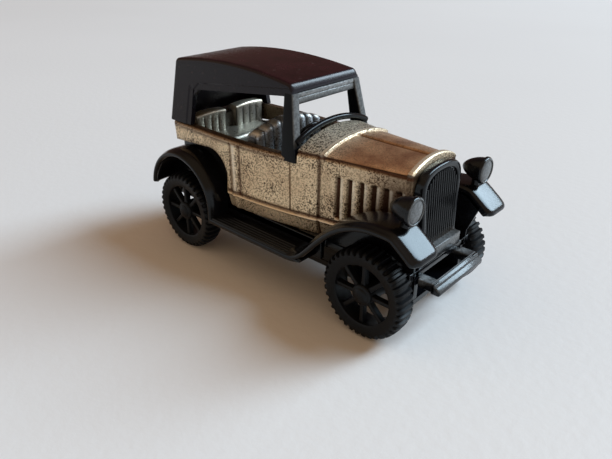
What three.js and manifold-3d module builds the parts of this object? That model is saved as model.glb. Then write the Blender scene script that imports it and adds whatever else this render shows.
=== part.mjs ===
// A small vintage touring car: a cast metal body on a black moulded chassis with wings and running
// boards, a black hood top, and two steel axles that carry spoked wheels.
// Millimetres. +X is forward, +Y is the car's left, +Z is up. Lengths are first measured from the
// middle of the wheelbase, on the ground. The finished car is then moved so that the origin lies on
// the ground under the middle of its overall length.
import * as THREE from "three";
import { mergeVertices } from "three/addons/utils/BufferGeometryUtils.js";
import Module from "manifold-3d";

// Wheels and axles
const wheelbase = 32.8;
const tyreRadius = 5.75;
const tyreWidth = 3.0;
const wheelMiddle = 8.6;
const cleatCount = 30;
const cleatDepth = 0.32;
const cleatFoot = 0.6;
const cleatTop = 0.44;
const tyreShoulder = 0.4;
const tyreWall = 1.4;
const rimWall = 0.35;
const rimInset = 0.25;
const spokeCount = 8;
const spokeWidth = 0.75;
const spokeDepth = 0.9;
const hubRadius = 1.35;
const hubDome = 0.35;
const hubCap = 0.8;
const axleRadius = 0.75;
const axleGrip = 0.6;

// Clearances
const pressGap = 0.02;
const runningGap = 0.06;
const fitGap = 0.08;
const sidePlay = 0.15;
const wheelRoom = 0.3;
const seatGap = 0.25;

// Chassis moulding: heights from the axles, lengths from the axles
const deckRise = 3.15;
const deckThickness = 1.0;
const deckNose = 4.4;
const deckTail = 3.3;
const railOuter = 5.6;
const railWidth = 0.8;
const plateThickness = 0.9;
const plateChamfer = 0.2;
const boardDrop = 1.65;
const boardThickness = 0.9;
const boardRibs = 5;
const boardRibWidth = 0.32;
const boardRibHeight = 0.2;
const boardRibFlank = 0.065;
const valanceWall = 0.7;
const valanceInset = 0.35;
const wingLap = 0.6;
const wingWall = 0.7;
const wingCrown = 0.35;
const wingEnd = 0.8;
const apronWall = 1.0;
const frontWingRise = 2.9;
const frontWingCrest = 1.6;
const frontWingHeel = 2.65;
const frontWingTip = 1.2;
const frontWingDrop = 2.5;
const frontWingRound = 1.3;
const frontWingRear = new THREE.Vector2(0.09, 0.5);
const frontWingTop = new THREE.Vector2(0.45, 0.486);
const frontWingFront = new THREE.Vector2(0.26, 0.52);
const rearWingRise = 2.6;
const rearWingLead = 0.4;
const rearWingTail = 0.5;

// Cast body: heights from the deck, lengths from the axles and the cowl
const bodyWall = 0.9;
const bodyHalf = 8.4;
const rearTaper = 0.45;
const cowlHalf = 6.6;
const noseHalf = 4.65;
const widestBehind = 11.0;
const rearOverhang = 3.9;
const rearCorner = 1.5;
const rearTuck = 1.2;
const rearTuckDrop = 2.9;
const bodyHeight = 9.7;
const beltRound = 0.45;
const beltBevel = 0.14;
const sillRise = 2.1;
const sillTuck = 0.45;
const sillBead = 0.14;
const beadHalf = 0.22;
const cowlLength = 2.9;
const hoodLength = 11.8;
const noseAhead = 2.3;
const shoulderRise = 0.7;
const shoulderGroove = 0.25;
const crownRise = 1.55;
const crownFullness = 1.75;
const cowlClimb = 0.5;
const noseCrownDrop = 0.05;
const rimRaise = 0.14;
const rimBand = 0.7;
const rimEdge = 0.12;
const hoodDip = 0.1;
const hingeWidth = 0.45;
const hingeDepth = 0.3;
const dashWall = 0.8;
const archRoom = 1.5;
const archRound = 3.6;
const seamWidth = 0.26;
const seamDepth = 0.16;
const doorFrontBehind = 1.05;
const pillarBehind = 10.3;
const pillarWidth = 1.4;
const louvreCount = 6;
const louvrePitch = 1.55;
const louvreWidth = 0.8;
const louvreDepth = 0.5;
const louvreStart = 2.2;
const louvreFoot = 1.2;
const louvreHeight = 5.2;

// Windscreen frame: lengths behind the cowl's rear edge
const postFootBehind = 2.45;
const postFootLength = 2.4;
const postHeadBehind = 2.9;
const postHeadLength = 1.4;
const postWidth = 1.2;
const postProud = 0.06;
const headerDepth = 1.4;
const headerInset = 0.2;
const barRadius = 0.42;
const barLift = 0.1;
const barBehind = 0.45;

// Roof: heights from the belt
const roofRise = 8.35;
const roofArch = 0.95;
const roofHalf = 6.25;
const roofInset = 0.35;
const roofWall = 0.85;
const roofThickness = 1.0;
const roofRound = 0.6;
const roofBehind = 1.7;
const roofLip = 0.95;
const quarterLength = 4.6;
const windowRearRise = 5.0;
const windowFrontRise = 7.15;
const windowCorner = 1.0;

// Cabin: lengths behind the cowl's rear edge
const channelCount = 8;
const humpGap = 1.7;
const humpChannels = 3;
const channelDepth = 0.35;
const cushionRound = 0.6;
const frontSeatBehind = 9.7;
const frontSeatLength = 5.4;
const frontSeatRise = 2.1;
const frontCushionHeight = 5.7;
const backThickness = 1.9;
const backArch = 0.9;
const rearSeatLength = 5.6;
const rearSeatRise = 1.8;
const rearCushionDrop = 2.2;
const steeringRadius = 1.5;
const steeringRim = 0.22;
const steeringSpoke = [0.26, 0.33];
const steeringColumn = 0.3;
const steeringAside = 2.6;
const steeringBehind = 2.4;
const steeringRise = 1.9;
const steeringTilt = 42;
const steeringSocket = 0.4;

// Radiator, lamps and bumper
const radiatorHalf = 4.25;
const radiatorFoot = 3.75;
const radiatorRise = 0.9;
const radiatorLedgeRise = 1.8;
const radiatorLean = 3.2;
const radiatorDepth = 1.6;
const ledgeAhead = 0.75;
const meshHalf = 3.35;
const meshFoot = 3.05;
const meshDepth = 0.3;
const meshMargin = 0.85;
const barCount = 12;
const gridBar = 0.26;
const gridSunk = 0.08;
const shoulderDrop = 0.6;
const shoulderPull = new THREE.Vector2(0.55, 0.08);
const lampRadius = 1.8;
const lampLength = 3.3;
const lampInset = 2.85;
const lampAhead = 3.7;
const lampStand = 0.47;
const lampPeg = 0.5;
const lampRim = 0.25;
const lampRimWidth = 0.55;
const lampTail = 0.55;
const lampBelly = new THREE.Vector2(1.5, 1.25);
const lampGlassDip = 0.15;
const lampBehind = 1.95;
const bumperReach = 7.4;
const bumperHalf = 5.15;
const bumperDepth = 1.2;
const bumperDrop = 1.4;
const bumperHeight = 1.35;
const bumperRound = 0.5;
const armWidth = 1.05;
const armHeight = 1.1;
const armRoot = 1.9;
const armFlare = 1.25;

// Screws
const screwRadius = 0.5;
const screwHead = 0.95;
const screwHeadHeight = 0.45;
const screwSlot = 0.22;
const screwSlotHalf = 0.66;
const screwGrip = 2.0;
const bossRadius = 1.05;
const frontScrew = 10.7;

// Fineness of round forms
const roundSteps = 24;
const smallSteps = 12;
const far = 60;

// Places that follow from the sizes
const frontAxle = wheelbase / 2;
const rearAxle = -wheelbase / 2;
const axleHeight = tyreRadius;
const wheelHouse = wheelMiddle - tyreWidth / 2 - wheelRoom;
const apronInner = wheelHouse - apronWall;
const wingOuter = wheelMiddle + tyreWidth / 2 + wingLap;
const plateTop = axleHeight - axleRadius - runningGap;
const plateBottom = plateTop - plateThickness;
const deckTop = axleHeight + deckRise;
const deckBottom = deckTop - deckThickness;
const boardTop = deckTop - boardDrop;
const bodyBottom = deckTop + fitGap;
const sillHeight = deckTop + sillRise;
const beltHeight = deckTop + bodyHeight;
const shoulderHeight = beltHeight + shoulderRise;
const roofHeight = beltHeight + roofRise;
const bodyRear = rearAxle - rearOverhang;
const hoodFront = frontAxle + noseAhead;
const hoodBack = hoodFront - hoodLength;
const cowlBack = hoodBack - cowlLength;
const widest = cowlBack - widestBehind;
const rearWingRadius = tyreRadius + wheelRoom + wingWall;
const rearWingCentre = new THREE.Vector2(rearAxle + rearWingLead, axleHeight + rearWingRise);
const rearWingTop = rearWingCentre.y + rearWingRadius;
const archFront = rearWingCentre.x + rearWingRadius + archRoom;
const archTop = rearWingTop + archRoom;
const wingCrestHeight = axleHeight + tyreRadius + frontWingRise + wingWall;
const wingHeel = frontAxle - tyreRadius - frontWingHeel;
const wingTip = frontAxle + tyreRadius + frontWingTip;
const deckFront = frontAxle + deckNose;
const deckRear = rearAxle - deckTail;
const roofFoot = bodyHalf - roofInset;
const roofNose = cowlBack - roofBehind;
const windscreenTop = roofHeight - roofThickness - fitGap;
const postFoot = beltHeight - 2 * beltRound;
const lampX = frontAxle + lampAhead;
const lampAside = wingOuter - lampInset;
const radiatorLedge = deckTop + radiatorLedgeRise;
const screwFrontX = hoodFront - frontScrew;
const screwRearX = bodyRear + rearTuck + bossRadius + fitGap;

const wasm = await Module();
wasm.setup();

// Solids

function solid(geometry) {
  geometry.deleteAttribute("normal");
  geometry.deleteAttribute("uv");
  const merged = mergeVertices(geometry, 1e-5);
  const corners = merged.index.array;
  const triangles = [];
  for (let k = 0; k < corners.length; k += 3) {
    const [a, b, c] = corners.slice(k, k + 3);
    if (a !== b && b !== c && c !== a) {
      triangles.push(a, b, c);
    }
  }
  const vertProperties = new Float32Array(merged.attributes.position.array);
  const triVerts = new Uint32Array(triangles);
  return new wasm.Manifold(new wasm.Mesh({ numProp: 3, vertProperties, triVerts }));
}

function geometryOf(body) {
  const faces = body.getMesh();
  const geometry = new THREE.BufferGeometry();
  geometry.setAttribute("position", new THREE.BufferAttribute(new Float32Array(faces.vertProperties), 3));
  geometry.setIndex(Array.from(faces.triVerts));
  return geometry;
}

function mirrored(body) {
  const geometry = geometryOf(body);
  geometry.scale(1, -1, 1);
  const corners = Array.from(geometry.index.array);
  for (let k = 0; k < corners.length; k += 3) {
    corners.splice(k, 3, corners[k], corners[k + 2], corners[k + 1]);
  }
  geometry.setIndex(corners);
  return solid(geometry);
}

function bothSides(body) {
  return body.add(mirrored(body));
}

function joined(bodies) {
  return bodies.reduce((whole, body) => whole.add(body));
}

function block(x, y, z) {
  const geometry = new THREE.BoxGeometry(x[1] - x[0], y[1] - y[0], z[1] - z[0]);
  geometry.translate((x[0] + x[1]) / 2, (y[0] + y[1]) / 2, (z[0] + z[1]) / 2);
  return solid(geometry);
}

function outline(points) {
  return new THREE.Shape(points.map((point) => new THREE.Vector2(...point)));
}

// An outline in X and Z, carried across the car from y[0] to y[1].
function acrossY(shape, y) {
  const options = { depth: y[1] - y[0], bevelEnabled: false, curveSegments: 8 };
  const geometry = new THREE.ExtrudeGeometry(shape, options);
  geometry.rotateX(Math.PI / 2);
  geometry.translate(0, y[1], 0);
  return solid(geometry);
}

// An outline in Y and Z, carried along the car from x[0] to x[1].
function alongX(shape, x) {
  const options = { depth: x[1] - x[0], bevelEnabled: false, curveSegments: 8 };
  const geometry = new THREE.ExtrudeGeometry(shape, options);
  const yAxis = new THREE.Vector3(0, 1, 0);
  const zAxis = new THREE.Vector3(0, 0, 1);
  const xAxis = new THREE.Vector3(1, 0, 0);
  geometry.applyMatrix4(new THREE.Matrix4().makeBasis(yAxis, zAxis, xAxis));
  geometry.translate(x[0], 0, 0);
  return solid(geometry);
}

// An outline in X and Y, carried up from z[0] to z[1].
function upZ(shape, z) {
  const options = { depth: z[1] - z[0], bevelEnabled: false, curveSegments: 8 };
  const geometry = new THREE.ExtrudeGeometry(shape, options);
  geometry.translate(0, 0, z[0]);
  return solid(geometry);
}

function upright(radius, x, y, z) {
  const geometry = new THREE.CylinderGeometry(radius, radius, z[1] - z[0], smallSteps);
  geometry.rotateX(Math.PI / 2);
  geometry.translate(x, y, (z[0] + z[1]) / 2);
  return solid(geometry);
}

function crosswise(radius, x, y, z) {
  const geometry = new THREE.CylinderGeometry(radius, radius, y[1] - y[0], roundSteps);
  geometry.translate(x, (y[0] + y[1]) / 2, z);
  return solid(geometry);
}

function ringCentre(ring) {
  const sum = ring.reduce((total, point) => total.add(point), new THREE.Vector3());
  return sum.divideScalar(ring.length);
}

function ringNormal(ring) {
  const normal = new THREE.Vector3();
  ring.forEach((point, k) => {
    const next = ring[(k + 1) % ring.length];
    normal.add(new THREE.Vector3().crossVectors(point, next));
  });
  return normal.normalize();
}

function ringFaces(ring) {
  const normal = ringNormal(ring);
  const across = new THREE.Vector3().subVectors(ring[1], ring[0]).normalize();
  const over = new THREE.Vector3().crossVectors(normal, across);
  const flat = ring.map((point) => new THREE.Vector2(point.dot(across), point.dot(over)));
  return THREE.ShapeUtils.triangulateShape(flat, []);
}

// A closed skin through a row of rings that have equally many points.
function loft(rings) {
  const travel = ringCentre(rings.at(-1)).sub(ringCentre(rings[0]));
  const turned = ringNormal(rings[0]).dot(travel) < 0;
  const rows = turned ? rings.map((ring) => [...ring].reverse()) : rings;
  const count = rows[0].length;
  const faces = [];
  for (let row = 0; row + 1 < rows.length; row += 1) {
    for (let k = 0; k < count; k += 1) {
      const a = row * count + k;
      const b = row * count + ((k + 1) % count);
      faces.push(a, b, b + count);
      faces.push(a, b + count, a + count);
    }
  }
  const last = (rows.length - 1) * count;
  ringFaces(rows[0]).forEach(([a, b, c]) => faces.push(a, c, b));
  ringFaces(rows.at(-1)).forEach(([a, b, c]) => faces.push(last + a, last + b, last + c));
  const geometry = new THREE.BufferGeometry().setFromPoints(rows.flat());
  geometry.setIndex(faces);
  return solid(geometry);
}

// A closed ring in the plane x, from the half section on the car's left.
function sectionRing(x, half) {
  const left = half.map(([y, z]) => new THREE.Vector3(x, y, z));
  const right = half.filter(([y]) => y > 0).map(([y, z]) => new THREE.Vector3(x, -y, z));
  return [...left, ...right.reverse()];
}

// Body

// Half width of the body: widest behind the doors, drawn in to the cowl and then to the nose.
function bodySide(x) {
  if (x > hoodBack) {
    const along = (x - hoodBack) / hoodLength;
    return cowlHalf + (noseHalf - cowlHalf) * along;
  }
  if (x > widest) {
    const along = (x - widest) / (hoodBack - widest);
    return bodyHalf + (cowlHalf - bodyHalf) * along ** 2;
  }
  const along = (x - widest) / (bodyRear - widest);
  const corner = Math.max(0, bodyRear + rearCorner - x);
  const cut = rearCorner - Math.sqrt(Math.max(0, rearCorner ** 2 - corner ** 2));
  return bodyHalf - rearTaper * along ** 2 - cut;
}

function tubHalf(x, grow) {
  const side = bodySide(x) + grow;
  const top = beltHeight + grow;
  return [
    [side - sillTuck, bodyBottom - grow],
    [side, sillHeight - beadHalf],
    [side + sillBead, sillHeight],
    [side, sillHeight + beadHalf],
    [side, top - beltRound],
    [side - beltBevel, top - beltBevel],
    [side - beltRound, top],
  ];
}

function tubStations() {
  const corner = [0, 0.2, 0.5, 1].map((part) => bodyRear + rearCorner * part);
  const flank = [0, 0.3, 0.6, 0.8, 1].map((part) => widest + (cowlBack - widest) * part);
  return [...corner, ...flank];
}

// Share of the arch's rise at a share of its half width: rounder than a parabola, flatter than an ellipse.
function crownPart(part) {
  return Math.max(0, 1 - part ** 2) ** (crownFullness / 2);
}

// The arch over the cowl and bonnet, from its shoulder up to the middle of the car.
// The cowl climbs towards its rear edge.
function noseArch(x, lift) {
  const along = Math.max(0, (x - hoodBack) / hoodLength);
  const behind = Math.max(0, (hoodBack - x) / cowlLength);
  const half = bodySide(x) + lift - shoulderGroove / 2;
  const shoulder = shoulderHeight + shoulderGroove + lift;
  const rise = crownRise - shoulderGroove - noseCrownDrop * along + cowlClimb * behind;
  const steps = 8;
  const arch = [];
  for (let k = 0; k <= steps; k += 1) {
    const angle = (Math.PI / 2) * (k / steps);
    const part = k === steps ? 0 : Math.cos(angle);
    arch.push([half * part, shoulder + rise * crownPart(part)]);
  }
  return arch;
}

// The cowl and bonnet share one section, raised along rims and lowered along seams.
function noseHalfSection(x, lift) {
  const side = bodySide(x) + lift;
  const groove = shoulderHeight + lift;
  return [
    [side - sillTuck, bodyBottom],
    [side, sillHeight - beadHalf],
    [side + sillBead, sillHeight],
    [side, sillHeight + beadHalf],
    [side, groove - shoulderGroove],
    [side - shoulderGroove, groove],
    ...noseArch(x, lift),
  ];
}

function noseLoft(grow) {
  const stations = [
    [cowlBack, 0],
    [hoodBack - rimEdge, 0],
    [hoodBack, -seamDepth],
    [hoodBack + rimEdge, rimRaise],
    [hoodBack + rimBand, rimRaise],
    [hoodBack + rimBand + rimEdge, -hoodDip],
    [hoodFront - rimBand - rimEdge, -hoodDip],
    [hoodFront - rimBand, rimRaise],
    [hoodFront + grow, rimRaise],
  ];
  return loft(stations.map(([x, lift]) => sectionRing(x, noseHalfSection(x, lift + grow))));
}

function tubLoft(grow) {
  return loft(tubStations().map((x) => sectionRing(x, tubHalf(x, grow))));
}

// The rear panel leans in under the belt, then drops straight to the chassis.
function rearTuckCut() {
  const low = beltHeight - rearTuckDrop;
  const shape = outline([
    [bodyRear - bodyWall, beltHeight - beltRound],
    [bodyRear, beltHeight - beltRound],
    [bodyRear + rearTuck, low],
    [bodyRear + rearTuck, 0],
    [bodyRear - bodyWall, 0],
  ]);
  return acrossY(shape, [-far, far]);
}

// The outline over each rear wheel: level under the belt, round at the front, square to the sill.
function archOutline(inset, rear, low) {
  const front = archFront - inset;
  const top = archTop - inset;
  const shape = new THREE.Shape();
  shape.moveTo(rear, low);
  shape.lineTo(front, low);
  shape.lineTo(front, top - archRound);
  shape.absarc(front - archRound, top - archRound, archRound, 0, Math.PI / 2);
  shape.lineTo(rear, top - archRoom / 2);
  return shape;
}

// The opening in each side of the body that lets the rear wing pass.
function wheelArch() {
  return bothSides(acrossY(archOutline(0, bodyRear - bodyWall, 0), [apronInner - fitGap, far]));
}

function bodyEnvelope(grow) {
  return tubLoft(grow).add(noseLoft(grow)).subtract(rearTuckCut()).subtract(wheelArch());
}

function cabinSpace() {
  const back = bodyRear + rearTuck + bodyWall;
  const front = cowlBack - dashWall;
  const steps = [0, 0.3, 0.6, 0.8, 1];
  const rings = steps.map((part) => {
    const x = back + (front - back) * part;
    const side = bodySide(x) - sillTuck - bodyWall;
    return sectionRing(x, [[side, 0], [side, far]]);
  });
  return loft(rings);
}

function bonnetSpace() {
  const stations = [cowlBack + bodyWall, hoodBack, hoodFront - bodyWall];
  return loft(stations.map((x) => {
    const side = bodySide(x) - sillTuck - bodyWall;
    const top = noseArch(x, -bodyWall).map(([y, z]) => [Math.min(y, side), z]);
    return sectionRing(x, [[side, 0], ...top]);
  }));
}

function doorSeamCuts() {
  const seams = [doorFrontBehind, pillarBehind - pillarWidth / 2, pillarBehind + pillarWidth / 2];
  return bothSides(joined(seams.map((behind) => {
    const x = cowlBack - behind;
    const side = bodySide(x);
    const wide = [x - seamWidth / 2, x + seamWidth / 2];
    return block(wide, [side - seamDepth, far], [sillHeight + beadHalf, far]);
  })));
}

// A louvre is a wedge pressed into the bonnet side, deepest along its front edge.
function louvreCuts() {
  const angle = Math.atan2(noseHalf - cowlHalf, hoodLength);
  const wedge = outline([
    [-louvreWidth, louvreDepth], [-louvreWidth, 0], [0, -louvreDepth], [0, louvreDepth],
  ]);
  const options = { depth: louvreHeight, bevelEnabled: false };
  const cuts = [];
  for (let k = 0; k < louvreCount; k += 1) {
    const x = hoodBack + rimBand + louvreStart + louvrePitch * k;
    const geometry = new THREE.ExtrudeGeometry(wedge, options);
    geometry.rotateZ(angle);
    geometry.translate(x, bodySide(x) - hoodDip, sillHeight + louvreFoot);
    cuts.push(solid(geometry));
  }
  return bothSides(joined(cuts));
}

function hingeCut() {
  const top = shoulderHeight + crownRise - noseCrownDrop - hoodDip;
  const long = [hoodBack + rimBand, hoodFront - rimBand];
  const half = hingeWidth / 2;
  return block(long, [-half, half], [top - hingeDepth, far]);
}

function bodyPosts() {
  const inside = shoulderHeight + crownRise - bodyWall;
  const front = upright(bossRadius, screwFrontX, 0, [bodyBottom, inside]);
  const rear = upright(bossRadius, screwRearX, 0, [bodyBottom, bodyBottom + screwGrip + bossRadius]);
  const web = [bodyRear + rearTuck, screwRearX];
  const half = bossRadius / 2;
  const rib = block(web, [-half, half], [bodyBottom, bodyBottom + screwGrip + bossRadius]);
  return joined([front, rear, rib]);
}

function screwHoles(radius, z) {
  return upright(radius, screwFrontX, 0, z).add(upright(radius, screwRearX, 0, z));
}

function bodyShell() {
  const holes = screwHoles(screwRadius + fitGap, [0, bodyBottom + screwGrip + fitGap]);
  return bodyEnvelope(0)
    .subtract(cabinSpace())
    .subtract(bonnetSpace())
    .add(bodyPosts())
    .subtract(holes)
    .subtract(doorSeamCuts())
    .subtract(louvreCuts())
    .subtract(hingeCut())
    .subtract(windscreenPosts(fitGap))
    .subtract(steeringShaft(steeringColumn + fitGap, fitGap));
}

// Chassis moulding

// The front wing climbs from the running board to its crest and falls to a rounded tip.
function frontWingCurve() {
  const crest = new THREE.Vector2(frontAxle + frontWingCrest, wingCrestHeight);
  const tip = new THREE.Vector2(wingTip, wingCrestHeight - frontWingDrop);
  const heel = new THREE.Vector2(wingHeel, boardTop);
  const run = crest.x - heel.x;
  const climb = crest.y - heel.y;
  const fall = tip.x - crest.x;
  const path = new THREE.CurvePath();
  path.add(new THREE.CubicBezierCurve(
    heel,
    new THREE.Vector2(heel.x + frontWingRear.x * run, heel.y + frontWingRear.y * climb),
    new THREE.Vector2(crest.x - frontWingTop.x * run, crest.y),
    crest,
  ));
  path.add(new THREE.CubicBezierCurve(
    crest,
    new THREE.Vector2(crest.x + frontWingTop.y * fall, crest.y),
    new THREE.Vector2(tip.x - frontWingFront.x * fall, tip.y + frontWingFront.y * frontWingDrop),
    tip,
  ));
  return path.getSpacedPoints(13);
}

// The rear wing is an arc over the wheel with a straight leg down to the running board.
function rearWingCurve() {
  const points = [new THREE.Vector2(rearWingCentre.x + rearWingRadius, boardTop - boardThickness)];
  const steps = 12;
  const end = Math.PI - rearWingTail / rearWingRadius;
  for (let k = 0; k <= steps; k += 1) {
    const angle = end * (k / steps);
    const x = rearWingCentre.x + rearWingRadius * Math.cos(angle);
    const z = rearWingCentre.y + rearWingRadius * Math.sin(angle);
    points.push(new THREE.Vector2(x, z));
  }
  return points.reverse();
}

// A crowned sheet that follows a side curve, drawn in at its front end by the given rounding.
function wingSheet(points, rounding) {
  const steps = 3;
  const tip = points.at(-1);
  const rings = points.map((point, k) => {
    const before = points[Math.max(0, k - 1)];
    const after = points[Math.min(points.length - 1, k + 1)];
    const along = new THREE.Vector2().subVectors(after, before).normalize();
    const reach = Math.max(0, rounding - point.distanceTo(tip));
    const drawn = rounding - Math.sqrt(rounding ** 2 - reach ** 2);
    const inner = apronInner + wingEnd * drawn;
    const outer = wingOuter - wingEnd * drawn;
    const place = (part, depth) => {
      const swell = wingCrown * (1 - (2 * part - 1) ** 2) - depth;
      const y = inner + (outer - inner) * part;
      return new THREE.Vector3(point.x - along.y * swell, y, point.y + along.x * swell);
    };
    const parts = Array.from({ length: steps + 1 }, (_, step) => step / steps);
    const upper = parts.map((part) => place(part, 0));
    const lower = parts.map((part) => place(part, wingWall));
    return [...upper, ...lower.reverse()];
  });
  return loft(rings);
}

// The wall beside each wheel that carries its wing on the deck.
function wheelWall(points) {
  const edge = points.map((point, k) => {
    const next = points[Math.min(points.length - 1, k + 1)];
    const before = points[Math.max(0, k - 1)];
    const along = new THREE.Vector2().subVectors(next, before).normalize();
    return [point.x + along.y * wingWall / 2, point.y - along.x * wingWall / 2];
  });
  const above = edge.filter(([, z]) => z > deckTop);
  const start = [above[0][0], deckBottom];
  const end = [Math.min(above.at(-1)[0], deckFront), deckBottom];
  return acrossY(outline([start, ...above, end]), [apronInner, wheelHouse]);
}

// The panel beside each rear wheel fills the opening in the body.
function rearApron() {
  return acrossY(archOutline(fitGap, bodyRear + rearTuck, deckBottom), [apronInner, wheelHouse]);
}

// The running board's section, with lengthwise ribs on its tread.
function boardSection() {
  const inner = bodyHalf - sillTuck - valanceInset - valanceWall;
  const treadInner = inner + valanceWall + boardRibWidth;
  const pitch = (wingOuter - treadInner) / boardRibs;
  const points = [[inner, boardTop - boardThickness], [wingOuter, boardTop - boardThickness]];
  const half = boardRibWidth / 2;
  const foot = half + boardRibFlank;
  for (let k = boardRibs - 1; k >= 0; k -= 1) {
    const middle = treadInner + pitch * (k + 0.5);
    points.push([middle + foot, boardTop - boardRibHeight]);
    points.push([middle + half, boardTop]);
    points.push([middle - half, boardTop]);
    points.push([middle - foot, boardTop - boardRibHeight]);
  }
  points.push([inner, boardTop - boardRibHeight]);
  return outline(points);
}

function deck() {
  const middleHalf = bodyHalf - sillTuck - valanceInset;
  const rearEnd = rearWingCentre.x + rearWingRadius - wingWall / 2;
  const frontEnd = wingHeel + wingWall / 2;
  const plan = outline([
    [deckRear, -wheelHouse], [rearEnd, -wheelHouse], [rearEnd, -middleHalf],
    [frontEnd, -middleHalf], [frontEnd, -wheelHouse], [deckFront, -wheelHouse],
    [deckFront, wheelHouse], [frontEnd, wheelHouse], [frontEnd, middleHalf],
    [rearEnd, middleHalf], [rearEnd, wheelHouse], [deckRear, wheelHouse],
  ]);
  const long = [rearEnd, frontEnd];
  const board = alongX(boardSection(), long);
  const wall = [middleHalf - valanceWall, middleHalf];
  const valance = block(long, wall, [boardTop - boardThickness, deckTop]);
  return upZ(plan, [deckBottom, deckTop]).add(bothSides(board.add(valance)));
}

function rails() {
  const wide = [railOuter - railWidth, railOuter];
  const rail = block([deckRear, deckFront], wide, [plateTop + fitGap, deckTop]);
  const radius = axleRadius + runningGap;
  const slots = [frontAxle, rearAxle].map((x) => {
    const bearing = crosswise(radius, x, [-far, far], axleHeight);
    return bearing.add(block([x - radius, x + radius], [-far, far], [0, axleHeight]));
  });
  const bosses = screwHoles(bossRadius, [plateTop + fitGap, deckTop]);
  return bothSides(rail).add(bosses).subtract(joined(slots));
}

function fenderUnit() {
  const front = frontWingCurve();
  const rear = rearWingCurve();
  const sheets = [
    wingSheet(front, frontWingRound), wingSheet(rear, 0),
    wheelWall(front), wheelWall(rear), rearApron(),
  ];
  const pegs = upright(lampPeg + fitGap, lampX, lampAside, [deckTop, far]);
  const holes = screwHoles(screwRadius + fitGap, [0, far]);
  return deck()
    .add(rails())
    .add(bothSides(joined(sheets)))
    .subtract(bodyEnvelope(fitGap).add(bodyInside()))
    .subtract(bothSides(pegs))
    .subtract(holes);
}

// Nothing of the chassis stands inside the body, apart from the wheel arches.
function bodyInside() {
  const long = [bodyRear + rearTuck, cowlBack];
  const half = apronInner - fitGap;
  return block(long, [-half, half], [deckTop, beltHeight]);
}

// Base plate and screws

function basePlate() {
  const flat = outline([
    [deckRear, -railOuter], [deckFront, -railOuter], [deckFront, railOuter], [deckRear, railOuter],
  ]);
  const options = {
    depth: plateThickness - plateChamfer,
    bevelEnabled: true,
    bevelThickness: plateChamfer,
    bevelSize: plateChamfer,
    bevelOffset: -plateChamfer,
    bevelSegments: 1,
  };
  const geometry = new THREE.ExtrudeGeometry(flat, options);
  geometry.translate(0, 0, plateBottom + plateChamfer);
  const square = block([-far, far], [-far, far], [0, plateTop]);
  const head = [plateBottom - 1, plateBottom + screwHeadHeight + fitGap];
  return solid(geometry)
    .intersect(square)
    .subtract(screwHoles(screwRadius + fitGap, [0, far]))
    .subtract(screwHoles(screwHead + fitGap, head));
}

function screw(x) {
  const top = bodyBottom + screwGrip;
  const shoulder = plateBottom + screwHeadHeight;
  const profile = [
    [0, plateBottom],
    [screwHead, plateBottom],
    [screwHead, shoulder],
    [screwRadius, shoulder],
    [screwRadius, top - screwRadius],
    [0, top],
  ];
  const points = profile.map(([radius, z]) => new THREE.Vector2(radius, z));
  const geometry = new THREE.LatheGeometry(points, smallSteps);
  geometry.rotateX(Math.PI / 2);
  geometry.translate(x, 0, 0);
  const long = screwSlotHalf;
  const half = screwSlot / 2;
  const depth = [plateBottom - 1, plateBottom + screwSlot];
  const slot = block([x - long, x + long], [-half, half], depth);
  const cross = block([x - half, x + half], [-long, long], depth);
  return solid(geometry).subtract(slot).subtract(cross);
}

// Windscreen frame

function postFootSide() {
  return bodySide(cowlBack - postFootBehind) + postProud;
}

function postRing(part, grow) {
  const z = postFoot + (windscreenTop - postFoot) * part;
  const foot = postFootSide();
  const side = foot + (roofSide(windscreenTop) - postProud - foot) * part;
  const back = cowlBack - postFootBehind + (postFootBehind - postHeadBehind) * part;
  const length = postFootLength + (postHeadLength - postFootLength) * part;
  const inner = side - postWidth - grow;
  const outer = side + grow;
  const raised = part === 0 ? -grow : grow;
  const front = back + length + grow;
  return [[back - grow, inner], [front, inner], [front, outer], [back - grow, outer]].map(
    ([x, y]) => new THREE.Vector3(x, y, z + raised),
  );
}

function windscreenPosts(grow) {
  return bothSides(loft([postRing(0, grow), postRing(1, grow)]));
}

// The lower bar follows the arch along the cowl's rear edge, between the two posts.
function lowerBar() {
  const side = bodySide(cowlBack);
  const rise = crownRise - shoulderGroove + cowlClimb;
  const lift = barRadius + barLift;
  const reach = postFootSide() - postWidth / 2;
  const points = [];
  for (let k = 0; k <= smallSteps; k += 1) {
    const y = reach * (2 * (k / smallSteps) - 1);
    const z = shoulderHeight + shoulderGroove + rise * crownPart(y / side) + lift;
    points.push(new THREE.Vector3(cowlBack - barBehind, y, z));
  }
  const round = new THREE.Shape();
  round.absarc(0, 0, barRadius, 0, 2 * Math.PI);
  const path = new THREE.CatmullRomCurve3(points);
  const options = { steps: smallSteps + 4, extrudePath: path, bevelEnabled: false, curveSegments: 4 };
  return solid(new THREE.ExtrudeGeometry(round, options));
}

function windscreenHeader() {
  const half = roofSide(windscreenTop) - postProud - postWidth / 2;
  const back = cowlBack - postHeadBehind;
  const long = [back + headerInset, back + postHeadLength];
  return block(long, [-half, half], [windscreenTop - headerDepth, windscreenTop]);
}

function windscreenFrame() {
  return windscreenPosts(0).add(windscreenHeader()).add(lowerBar());
}

// Roof

function roofSide(z) {
  const lean = (roofFoot - roofHalf) / (roofHeight - beltHeight);
  return roofFoot - lean * (z - beltHeight);
}

function roofCrest(x) {
  const middle = (bodyRear + roofNose) / 2;
  const part = (x - middle) / ((roofNose - bodyRear) / 2);
  return roofHeight + roofArch * (1 - part ** 2);
}

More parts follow.
